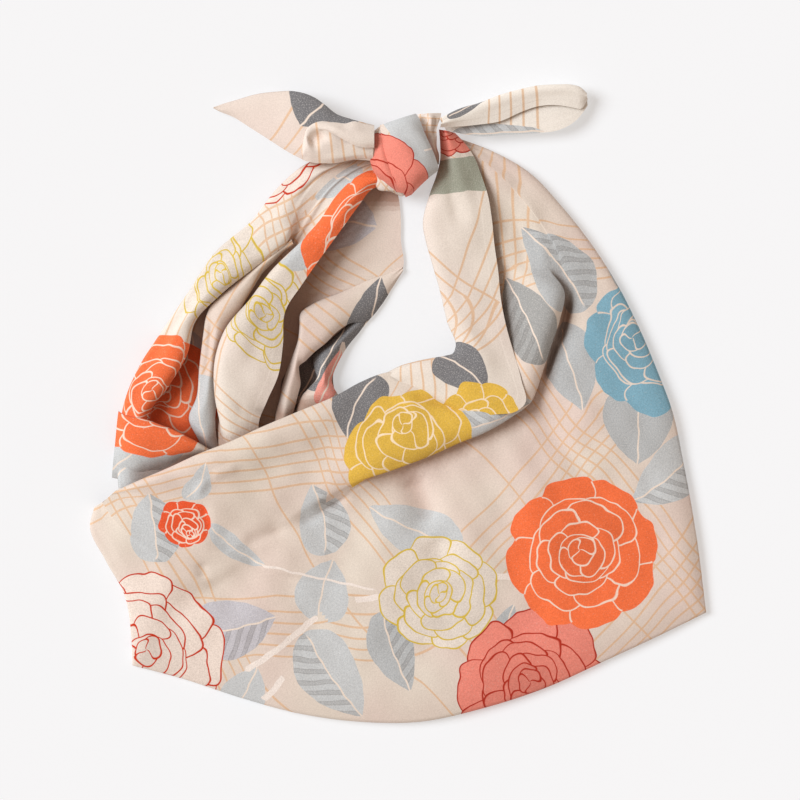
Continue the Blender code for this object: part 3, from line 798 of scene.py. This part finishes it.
# The dye of the petals, that of the lines, and whether a line also runs round the whole blossom.
BLOSSOM_KINDS = {
    "coral": ("#F77645", "#F6DCCB", 0.0),
    "bud": ("#EE5C33", "#F6DCCB", 0.0),
    "salmon": ("#EC8C7C", "#B5301C", 1.0),
    "mustard": ("#E4BB4E", "#F8E3C4", 0.0),
    "sky": ("#84B2C6", "#EADBCE", 0.0),
    "yellow_line": ("#E6DCD1", "#D9BC4A", 1.0),
    "red_line": ("#EEDFD4", "#C8360F", 1.0),
}
BLOSSOMS = (
    ("front", 159, -129, 67, 10, "coral"),
    ("front", 116, -244, 68, 40, "salmon"),
    ("front", 35, -164, 52, 0, "yellow_line"),
    ("front", 224, 54, 62, 160, "sky", 0.35),
    ("front", -220, -217, 71, 0, "red_line"),
    ("front left", -181, -104, 22, -75, "bud", 0.55),
    ("cuff left", 13, -46, 60, 100, "mustard", 0.6),
    ("flap", 72, -15, 36, -100, "mustard", 0.9),
    ("strap_roll strap_low facet", -212, 8, 58, 0, "coral"),
    ("strap_roll", -153, 110, 44, 0, "yellow_line"),
    ("strap_roll", -127, 211, 46, 30, "red_line"),
    ("strap_fold", -27, 150, 54, 60, "coral"),
    ("strap_fold", -116, 77, 44, 20, "yellow_line"),
    ("knot", -57, 143, 107, 15, "salmon"),
    ("flap", 43, 245, 44, 0, "salmon"),
    ("front", -85, -345, 63, 0, "mustard"),
    ("front", -241, -310, 57, 0, "sky"),
    ("front", 333, -205, 66, 0, "coral"),
    ("front", 315, -31, 52, 0, "red_line"),
    ("front", 263, 177, 57, 0, "mustard"),
    ("front", 141, -379, 61, 0, "yellow_line"),
    ("front left", -328, -136, 52, 0, "salmon"),
)
LEAF_KINDS = {
    "grey": "#B8BCBE",
    "light": "#C8CCCE",
    "dark": "#77777A",
    "dark_grey": "#A2A3A2",
    "green": "#A2A696",
    "lavender": "#C6C4CB",
    "stem": "#F3E8E0",
    "blush": "#EE9C8E",
}
# Half the length and half the width, the turn, the bow of the midrib, and the side that is hatched, or
# 2 for a stem.
LEAVES = (
    ("front", -100, -208, 39, 2.4, 37, 1, 2, "stem"),
    ("front", -108, -247, 14, 2.6, 48, 1, 2, "stem"),
    ("front left", -68, -150, 50, 0.9, -12, 1, 2, "stem"),
    ("front left", -25, -168, 12, 2.4, 6, 0, 2, "stem"),
    ("front", 78, -150, 22, 2.6, 2, 0, 2, "stem"),
    ("front", 14, -106, 44, 19, 157, -3, 0, "light"),
    ("front", -1, -214, 37, 17, -70, 3, 1, "grey"),
    ("front", 93, -188, 17, 8, 60, 2, 0, "grey"),
    ("front left", -67, -100, 32, 19, 100, 3, -1, "light"),
    ("front", -55, -235, 44, 23, -56, 3, -1, "light"),
    ("front", 235, -59, 40, 21, 219, -4, 1, "light"),
    ("front left", -211, -107, 31, 19, 96, 3, -1, "light"),
    ("front left", -174, -66, 19, 9, 60, 5, 0, "light"),
    ("front left", -137, -124, 30, 8, -37, 3, 0, "light"),
    ("front left", -61, -162, 28, 20, 75, -3, 0, "light"),
    ("front", -140, -192, 36, 22, 12, 3, -1, "lavender"),
    ("front", -134, -250, 26, 17, 60, 2, 0, "light"),
    ("front cuff", 138, 115, 41, 22, 129, 5, -1, "grey"),
    ("front", 147, 33, 40, 21, -70, -3, 0, "grey"),
    ("front", 209, -17, 35, 27, -92, 0, 0, "grey"),
    ("front", 195, 117, 19, 10, 120, 0, 0, "grey"),
    ("cuff", 112, 72, 41, 21, 116, 4, 1, "dark_grey"),
    ("cuff", 88, -12, 36, 19, 20, 2, 1, "light"),
    ("cuff left", -31, -2, 31, 20, -115, 6, 0, "dark"),
    ("flap", 55, 27, 28, 17, -35, -5, 0, "dark"),
    ("flap", 50, 199, 62, 15.5, 12, 0, 2, "green"),
    ("strap_roll facet", -224, -42, 44, 26, 215, 3, 0, "light"),
    ("middle_fold", -168, -15, 40, 26, -80, 3, 0, "light"),
    ("strap_low", -178, 34, 30, 17, 95, 3, 1, "lavender"),
    ("strap_fold", -88, 146, 33, 19, 60, 3, 0, "light"),
    ("strap_fold", -113, 124, 23, 16, 220, 3, 0, "light"),
    ("strap_fold", -57, 210, 30, 10, 15, 0, 0, "grey"),
    ("strap_base", -47, 155, 30, 19, -12, -3, 0, "lavender"),
    ("loop_fold", -58, 24, 27, 8, 65, 2, 0, "blush"),
    ("loop_fold light_fold", -22, 71, 37, 18, 80, 0, 0, "dark"),
    ("loop_fold", -61, 44, 36, 14, 60, 2, 0, "dark"),
    # This dark leaf lies in the gap below the light fold: partly the print there, partly painted shade
    # that darkens the gap.
    ("strap_base", -76, 22, 30, 18, 60, 0, 0, "dark"),
    ("ear_left", -60, 262, 33, 26, 230, 2, 0, "dark"),
    ("ear_right", 57, 257, 20, 7, 22, 0, 0, "dark"),
    ("ear_low", 82, 235, 36, 9, 0, 0, 1, "light"),
    ("knot", 29, 220, 9, 1.2, 15, 0, 2, "stem"),
    ("knot", 24, 228, 70, 34, -60, 0, 2, "light"),
    ("strap_fold strap_low", -72, 201, 40, 17, 160, 0, 0, "light"),
    ("front", 194, -310, 38, 19, 40, 3, 1, "grey"),
    ("front", -154, -327, 38, 19, 160, 3, -1, "grey"),
    ("front", -294, -205, 35, 17, 80, 3, 0, "light"),
    ("front", 315, 90, 38, 19, 100, 3, 1, "grey"),
    ("front", 28, -336, 35, 17, -30, 3, 0, "lavender"),
)
EDGE_ROOM = 1.05  # how far beyond a motif's size its faces are taken, and mm more than that
EDGE_MARGIN = 4
face_place = place[faces].mean(axis=1)


def layout(rows, shape):
    """Gives each face the first two motifs that reach it, as two lots of arrays: the place in the
    motif on each corner, with a third number for the motif, then what shape makes of the motif on
    each face."""
    lots = [None, None]
    taken = np.zeros((2, len(faces)), bool)
    for row in rows:
        centre, reach, degrees, on_corners, on_faces = shape(row)
        angle = math.radians(degrees)
        spin = np.array([[math.cos(angle), -math.sin(angle)], [math.sin(angle), math.cos(angle)]])
        off = np.abs((face_place - centre) @ spin)
        near = (off < np.array(reach) * EDGE_ROOM + EDGE_MARGIN).all(axis=1)
        near &= np.isin(panel, row[0].split())
        for lot in (0, 1):
            chosen = near & ~taken[lot]
            if lots[lot] is None:
                far_off = np.tile((9999.0, 0.0, 1.0), (len(faces), 4, 1))
                lots[lot] = [far_off, *(np.zeros((len(faces), 3)) for _ in on_faces)]
            lots[lot][0][chosen, :, :2] = (place[faces[chosen]] - centre) @ spin
            lots[lot][0][chosen, :, 2] = on_corners
            for values, value in zip(lots[lot][1:], on_faces):
                values[chosen] = value
            taken[lot] |= chosen
            near &= ~chosen
    return lots


def blossom(row):
    """What layout needs of a blossom: its middle, half its width both ways, its turn, how far off its
    middle the heart is, and the numbers and dyes that its faces keep."""
    _, x, y, radius, degrees, kind, *off_centre = row
    petals, lines, outlined = BLOSSOM_KINDS[kind]
    seed = (x * 0.37 + y * 0.61) % 7.0
    on_faces = ((radius, outlined, seed), linear(petals)[:3], linear(lines)[:3])
    return gathered(np.array([x, y], float)), (radius, radius), degrees, sum(off_centre), on_faces


def leaf(row):
    """The same of a leaf, with the bow of its midrib."""
    _, x, y, length, width, degrees, bend, hatch, kind = row
    on_faces = ((length, width, hatch), linear(LEAF_KINDS[kind])[:3])
    return gathered(np.array([x, y], float)), (length, width + abs(bend)), degrees, bend, on_faces


BLOSSOM_DATA = ("blossom", "blossom_size", "petals", "lines")
LEAF_DATA = ("leaf", "leaf_size", "leaf_colour")
for motifs, shape, names in ((BLOSSOMS, blossom, BLOSSOM_DATA), (LEAVES, leaf, LEAF_DATA)):
    for letter, lot in zip("ab", layout(motifs, shape)):
        for name, values in zip(names, lot):
            keep(f"{name}_{letter}", "CORNER" if name == names[0] else "FACE", values)
# Painted light: the ears, the left strap's layers, the flap and the knot are mixed towards a pale
# colour to stand in for brighter light falling on them; how much so on each panel.
PAINTED_LIGHT_SHARE = {
    "ear_left": 0.2, "ear_curl": 0.4, "ear_lip": 0.4, "ear_right": 1.0, "ear_low": 1.0,
    "strap_roll": 0.45, "strap_fold": 0.45, "strap_low": 0.3, "facet": 0.4, "pinch": 0.4,
    "knot_under": 0.5, "flap": 0.4,
}
keep("painted_light", "FACE", np.array([[PAINTED_LIGHT_SHARE.get(name, 0.0)] * 3 for name in panel.tolist()]))

# How far each point lies below the cloth around it. The shader darkens the colour by it towards
# a warm brown, a painted shade: down between the folds the light comes from warm cloth alone.
CELL = 4.0  # mm
HALF_GRID = 100  # cells from the wrap's middle to the edge of their grid
AROUND = range(-4, 5)  # cells
cells = (points[:, :2] / CELL + HALF_GRID).astype(int)
top_of_cell = np.zeros((2 * HALF_GRID, 2 * HALF_GRID))
np.maximum.at(top_of_cell, (cells[:, 0], cells[:, 1]), points[:, 2])
around = sum(np.roll(top_of_cell, (i, j), (0, 1)) for i in AROUND for j in AROUND) / len(AROUND) ** 2
depth = around[cells[:, 0], cells[:, 1]] - points[:, 2]
keep("depth", "POINT", np.repeat(depth[:, None], 3, axis=1))
keep("print_place", "POINT", np.column_stack([place, np.zeros(len(place))]))
keep("check", "POINT", check)

# --- Printed crepe ------------
# Fine viscose crepe, dyed by hand: a matt cloth with a grain of crinkled threads about 0.6 mm apart,
# drawn 1.2 mm apart to show. The colours are slightly grainy, as dye on crepe is, the outlines are
# reserved lines a little over a millimetre wide, and the ground has thin check lines.


def node(kind, values=(), out=0, tree=None, **settings):
    """Adds a node to the tree given, or to that of its links, and gives its output called out. A
    second word of the kind is its operation. Values fill the inputs in order or by key: a socket is
    linked, and a hex value is set as its colour."""
    values = dict(values if isinstance(values, dict) else enumerate(values))
    links = {key: value for key, value in values.items() if isinstance(value, bpy.types.NodeSocket)}
    tree = tree or next(iter(links.values())).id_data
    kind, *operation = kind.split()
    made = tree.nodes.new("ShaderNode" + kind)
    if operation:
        made.operation = operation[0]
    for name, value in settings.items():
        setattr(made, name, value)
    for key, value in values.items():
        if key in links:
            tree.links.new(value, made.inputs[key])
        else:
            made.inputs[key].default_value = linear(value) if isinstance(value, str) else value
    return made.outputs[out]


def swayed(place, over, scale, detail, reach):
    """A place shifted in plan by soft noise over another, by up to about a third of the reach."""
    shift = node("TexNoise", {"Vector": over, "Scale": scale, "Detail": detail}, "Color")
    shift = node("VectorMath SUBTRACT", (shift, (0.5, 0.5, 0.5)))
    shift = node("VectorMath MULTIPLY", (shift, (reach, reach, 0.0)))
    return node("VectorMath ADD", (place, shift))


def patchy(place, scale, detail, *span):
    """Soft noise, of which the part between the first two numbers of the span runs from 0 to 1, or
    between the other two."""
    noise = node("TexNoise", {"Vector": place, "Scale": scale, "Detail": detail})
    return node("MapRange", (noise, *span))


def new_group(name, inputs, outputs):
    """An empty node group with these sockets, what comes into it and what goes out."""
    group = bpy.data.node_groups.new(name, "ShaderNodeTree")
    for in_out, kinds in (("INPUT", inputs), ("OUTPUT", outputs)):
        for kind, labels in kinds.items():
            for label in labels.split():
                group.interface.new_socket(label, in_out=in_out, socket_type="NodeSocket" + kind)
    return group, group.nodes.new("NodeGroupInput").outputs, group.nodes.new("NodeGroupOutput").inputs


# A ring of petals round the middle, each over the one before it. The angle is counted in petals and
# slanted outwards. A petal's edge is where the cube of the distance, as a share of its reach, and the
# cube of the angle from its middle, as a share of its half width, add up to one. A half width is
# under one petal's angle, so that at any place only the two nearest petals can show.
LINE_WIDTH = 1.2  # mm
LINE_SOFTNESS = 0.3
PETAL_HALF = 0.84  # half the width of a petal, in petals
PETAL_SLANT = 0.55
whorl, given, result = new_group(
    "ring of petals",
    {"Vector": "Place", "Float": "Petals Reach Vary Phase Radius Outlined Thick"},
    {"Float": "Inside Line Tone"},
)
at, petals, reach, vary, phase, radius, outlined, thick, _ = given
x, y, _ = node("SeparateXYZ", (at,)).node.outputs
out = node("VectorMath LENGTH", (at,), "Value")
turns = node("Math ARCTAN2", (y, x))
turns = node("Math MULTIPLY_ADD", (turns, 1 / (2 * math.pi), 0.5))
count = node("Math MULTIPLY_ADD", (turns, petals, phase))
slant = node("Math DIVIDE", (out, reach))
count = node("Math MULTIPLY_ADD", (slant, PETAL_SLANT, count))
number = node("Math FLOOR", (count,))
beyond = node("Math FRACT", (count,))
side_run = node("Math MAXIMUM", (out, 0.02))
side_run = node("Math MULTIPLY", (side_run, PETAL_HALF * 2 * math.pi / 3))
side_run = node("Math DIVIDE", (side_run, petals))
found = []
for step in (0.0, 1.0):
    which = node("Math ADD", (number, step))
    which = node("Math FLOORED_MODULO", (which, petals))
    which = node("Math ADD", (which, phase))
    chance = node("TexWhiteNoise", {"W": which}, noise_dimensions="1D")
    own_reach = node("Math MULTIPLY", (chance, vary))
    own_reach = node("Math SUBTRACT", (1.0, own_reach))
    own_reach = node("Math MULTIPLY", (reach, own_reach))
    along = node("Math DIVIDE", (out, own_reach))
    along_squared = node("Math MULTIPLY", (along, along))
    aside = node("Math SUBTRACT", (beyond, step))
    aside = node("Math MULTIPLY", (aside, 1 / PETAL_HALF))
    aside = node("Math ABSOLUTE", (aside,))
    aside_squared = node("Math MULTIPLY", (aside, aside))
    room = node("Math MULTIPLY", (along_squared, along))
    room = node("Math MULTIPLY_ADD", (aside_squared, aside, room))
    room = node("Math SUBTRACT", (1.0, room))
    steep_out = node("Math MULTIPLY", (along_squared, 3.0))
    steep_out = node("Math DIVIDE", (steep_out, own_reach))
    steep_aside = node("Math DIVIDE", (aside_squared, side_run))
    steep = node("CombineXYZ", (steep_out, steep_aside, 0.2))
    steep = node("VectorMath LENGTH", (steep,), "Value")
    room = node("Math DIVIDE", (room, steep))
    room = node("Math MULTIPLY", (room, radius))
    line = node("Math DIVIDE", (room, thick))
    line = node("MapRange", (line, LINE_WIDTH + LINE_SOFTNESS, LINE_WIDTH - LINE_SOFTNESS))
    found.append((room, line, node("MapRange", (chance, 0.0, 1.0, 0.95, 1.03))))
(under_room, under_line, under_tone), (over_room, over_line, over_tone) = found
widest = node("Math MAXIMUM", (under_room, over_room))
shared = node("Math MINIMUM", (under_room, over_room))
shared = node("MapRange", (shared, -0.2, 0.4))
shared = node("Math MAXIMUM", (shared, outlined))
on_top = node("Math GREATER_THAN", (over_room, 0.0))
line = node("Mix", {0: on_top, 2: under_line, 3: over_line})
whorl.links.new(node("MapRange", (widest, -0.2, 0.2)), result["Inside"])
whorl.links.new(node("Math MULTIPLY", (line, shared)), result["Line"])
whorl.links.new(node("Mix", {0: on_top, 2: under_tone, 3: over_tone}), result["Tone"])

# A blossom: rings of petals, each over the one outside it. Soft noise bends the place, so that the
# lines run as by hand and no two blossoms are alike.
bloom, given, result = new_group(
    "camellia", {"Vector": "Place Size", "Color": "Petals Lines Under"}, {"Color": "Color"}
)
at, size, dye, line_dye, under, _ = given
radius, outlined, seed = node("SeparateXYZ", (size,)).node.outputs
radius = node("Math MAXIMUM", (radius, 1.0))
thick = node("Math MULTIPLY_ADD", (outlined, 0.08, 1.0))
apart = node("Math MULTIPLY", (seed, 90.0))
own_place = node("VectorMath ADD", (at, node("CombineXYZ", {"Z": apart})))
flat = swayed(at, own_place, 0.035, 1.0, 14.0)
flat = swayed(flat, own_place, 0.11, 0.0, 2.0)
flat = node("VectorMath MULTIPLY", (flat, (1.0, 1.0, 0.0)))
per_radius = node("Math DIVIDE", (1.0, radius))
flat = node("VectorMath SCALE", {0: flat, "Scale": per_radius})
off_centre = node("SeparateXYZ", (at,), "Z")
# petals, reach as a share of the radius, how far the petals vary in it, phase, and the ring's middle
PETAL_RINGS = (
    (8, 1.02, 0.07, 0.3, (0.0, 0.0, 0.0)),
    (6, 0.85, 0.20, 1.7, (0.02, -0.03, 0.0)),
    (5, 0.66, 0.20, 2.2, (-0.03, 0.04, 0.0)),
    (4, 0.49, 0.22, 3.4, (0.03, 0.03, 0.0)),
    (3, 0.34, 0.22, 4.1, (-0.02, -0.02, 0.0)),
    (3, 0.20, 0.20, 5.6, (0.02, 0.03, 0.0)),
)
line = tone = whole = None
for i, (count, reach, vary, phase, middle) in enumerate(PETAL_RINGS):
    moved = node("Math MULTIPLY", (off_centre, reach - 1))
    ring_place = node("VectorMath SUBTRACT", (flat, middle))
    ring_place = node("VectorMath ADD", (ring_place, node("CombineXYZ", (moved,))))
    ring_phase = node("Math ADD", (seed, phase))
    edged = 1.0 if i else outlined
    values = (ring_place, float(count), reach, vary, ring_phase, radius, edged, thick)
    inside, ring_line, ring_tone = node("Group", values, node_tree=whorl).node.outputs
    ring_tone = node("Math MULTIPLY", (ring_tone, 1.02 - 0.025 * i))
    if i:
        line = node("Mix", {0: inside, 2: line, 3: ring_line})
        tone = node("Mix", {0: inside, 2: tone, 3: ring_tone})
        whole = node("Math MAXIMUM", (whole, inside))
    else:
        line, tone, whole = ring_line, ring_tone, inside
tone = node("Math MULTIPLY", (tone, patchy(own_place, 0.9, 1.0, 0.3, 0.7, 0.92, 1.10)))
fill = node("VectorMath SCALE", {0: dye, "Scale": tone})
flecks = patchy(own_place, 0.75, 2.0, 0.62, 0.78, 0.0, 0.35)
fill = node("Mix", {0: flecks, 6: fill, 7: "#EFE0D2"}, 2, data_type="RGBA")
fill = node("Mix", {0: line, 6: fill, 7: line_dye}, 2, data_type="RGBA")
fill = node("Mix", {0: whole, 6: under, 7: fill}, 2, data_type="RGBA")
bloom.links.new(fill, result["Color"])

# A leaf: round at its base and pointed at its tip, with a reserved midrib, and on one side pairs of
# thin strokes. Its half width goes with (1 - s)^0.85 (1 + s)^0.5, with s from -1 at the base to 1.
STROKE_REPEAT = 11.5  # mm
frond, given, result = new_group(
    "leaf", {"Vector": "Place Size", "Color": "Leaf Under"}, {"Color": "Color"}
)
at, size, dye, under, _ = given
along, aside, _ = node("SeparateXYZ", (swayed(at, at, 0.06, 1.0, 4.5),)).node.outputs
bow = node("SeparateXYZ", (at,), "Z")
half_length, half_width, hatch = node("SeparateXYZ", (size,)).node.outputs
share = node("Math DIVIDE", (along, half_length))
rise = node("Math MULTIPLY", (share, share))
rise = node("Math SUBTRACT", (1.0, rise))
aside = node("Math MULTIPLY_ADD", (bow, rise, aside))
off = node("Math ABSOLUTE", (aside,))
no_stem = node("Math LESS_THAN", (hatch, 1.5))
to_tip = node("Math SUBTRACT", (1.0, share))
to_tip = node("Math MAXIMUM", (to_tip, 0.0))
to_tip = node("Math POWER", (to_tip, 0.85))
to_base = node("Math ADD", (share, 1.0))
to_base = node("Math MAXIMUM", (to_base, 0.0))
to_base = node("Math POWER", (to_base, 0.5))
outline = node("Math MULTIPLY", (to_tip, to_base))
outline = node("Mix", {0: no_stem, 2: node("MapRange", (rise, 0.0, 0.1)), 3: outline})
outline = node("Math MULTIPLY", (outline, 1.1))
outline = node("Math MULTIPLY", (outline, half_width))
stroke = node("Math MULTIPLY_ADD", (off, 0.7, along))
stroke = node("Math FLOORED_MODULO", (stroke, STROKE_REPEAT))
stroke = node("Math SUBTRACT", (stroke, STROKE_REPEAT / 2))
stroke = node("Math ABSOLUTE", (stroke,))
pair = node("Math SUBTRACT", (stroke, 2.1))
pair = node("Math ABSOLUTE", (pair,))
pair = node("MapRange", (pair, 0.75, 0.35))
stroke = node("MapRange", (stroke, 2.3, 1.9, 0.0, 0.65))
stroke = node("Math MAXIMUM", (pair, stroke))
hatched = node("Math MULTIPLY", (aside, hatch))
hatched = node("Math GREATER_THAN", (hatched, 0.4))
hatched = node("Math MULTIPLY", (hatched, no_stem))
stroke = node("Math MULTIPLY", (stroke, hatched))
dark = node("Mix", {0: 0.42, 6: dye, 7: "#706C6A"}, 2, data_type="RGBA")
fill = node("Mix", {0: stroke, 6: dye, 7: dark}, 2, data_type="RGBA")
dust = patchy(at, 0.9, 1.0, 0.3, 0.7, 0.92, 1.10)
fill = node("VectorMath SCALE", {0: fill, "Scale": dust})
flecks = patchy(at, 1.0, 2.0, 0.5, 0.7, 0.0, 0.38)
fill = node("Mix", {0: flecks, 6: fill, 7: "#E6E3DE"}, 2, data_type="RGBA")
rib = node("MapRange", (off, 0.95, 0.5))
rib = node("Math MULTIPLY", (rib, no_stem))
rib = node("Math MULTIPLY", (rib, node("MapRange", (share, -0.95, -0.85))))
fill = node("Mix", {0: rib, 6: fill, 7: "#EFE0D2"}, 2, data_type="RGBA")
inside = node("Math SUBTRACT", (outline, off))
inside = node("MapRange", (inside, -0.2, 0.2))
fill = node("Mix", {0: inside, 6: under, 7: fill}, 2, data_type="RGBA")
frond.links.new(fill, result["Color"])

# The crepe itself: ground, with painted light on some panels, check lines, leaves, blossoms,
# then painted shade in the gaps, and the grain.
crepe, shader = new_material("printed crepe", {
    "Roughness": 0.85, "Specular IOR Level": 0.2, "Sheen Weight": 0.1, "Sheen Roughness": 0.5,
})
tree = crepe.node_tree
print_place, check_place, painted_light, painted_gap_shade = (
    node("Attribute", out=out, tree=tree, attribute_name=name)
    for name, out in (("print_place", "Vector"), ("check", "Vector"), ("painted_light", "Fac"), ("depth", "Fac"))
)

# the repeat of the check in mm each way, and the places of the lines in it
CHECK_LINES = (
    (173.0, (73.5, 120, 129.5, 139, 148.5, 158)),
    (145.0, (8, 22, 115, 124.5, 134, 143)),
)
to_hem = node("SeparateXYZ", (check_place,), "Z")
check_place = swayed(check_place, print_place, 0.010, 1.0, 26.0)
lines = None
for run, (repeat, line_places) in zip(node("SeparateXYZ", (check_place,)).node.outputs, CHECK_LINES):
    run = node("Math FLOORED_MODULO", (run, repeat))
    for line_place in line_places:
        off = node("Math SUBTRACT", (run, float(line_place)))
        off = node("Math ABSOLUTE", (off,))
        lines = off if lines is None else node("Math MINIMUM", (lines, off))
lines = node("MapRange", (lines, 1.15, 0.55, 0.0, 0.75))

patches = patchy(print_place, 0.011, 1.0, 0.35, 0.65)
colour = node("Mix", {0: patches, 6: "#E4D9CC", 7: "#E3D0C6"}, 2, data_type="RGBA")
# Painted light: on the panels listed above, the ground is mixed towards a pale colour.
colour = node("Mix", {0: painted_light, 6: colour, 7: "#F5EFE6"}, 2, data_type="RGBA")
colour = node("Mix", {0: lines, 6: colour, 7: "#E2B88F"}, 2, data_type="RGBA")
for group, names in ((frond, LEAF_DATA), (bloom, BLOSSOM_DATA)):
    for letter in "ba":
        values = [
            node("Attribute", out="Vector", tree=tree, attribute_name=f"{name}_{letter}")
            for name in names
        ]
        colour = node("Group", (*values, colour), node_tree=group)
# Painted shade: the colour is multiplied towards a warm brown where the point lies deep below the cloth
# around it.
painted_gap_shade = node("MapRange", (painted_gap_shade, 2.0, 10.5, 0.0, 0.72))
values = {0: painted_gap_shade, 6: colour, 7: "#B58F7C"}
colour = node("Mix", values, 2, data_type="RGBA", blend_type="MULTIPLY")

own_place = node("TexCoord", out="Object", tree=tree)
speckle = patchy(own_place, 900.0, 1.0, 0.3, 0.7, 0.93, 1.05)
colour = node("VectorMath SCALE", {0: colour, "Scale": speckle})
tree.links.new(colour, shader.inputs["Base Color"])

crinkle = node("TexNoise", {"Vector": own_place, "Scale": 60.0, "Detail": 2.0})
grain = node("TexNoise", {"Vector": own_place, "Scale": 700.0, "Detail": 2.0})
height = node("Math MULTIPLY_ADD", (crinkle, 0.5, grain))
hem_step = node("MapRange", (to_hem, HEM + 0.8, HEM - 0.4, 0.0, 0.6))
height = node("Math ADD", (hem_step, height))
bump = node("Bump", {"Strength": 0.35, "Distance": 0.0006, "Height": height}, "Normal")
tree.links.new(bump, shader.inputs["Normal"])
mesh.materials.append(crepe)

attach(wrap, "root")
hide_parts("furoshiki_cloth")
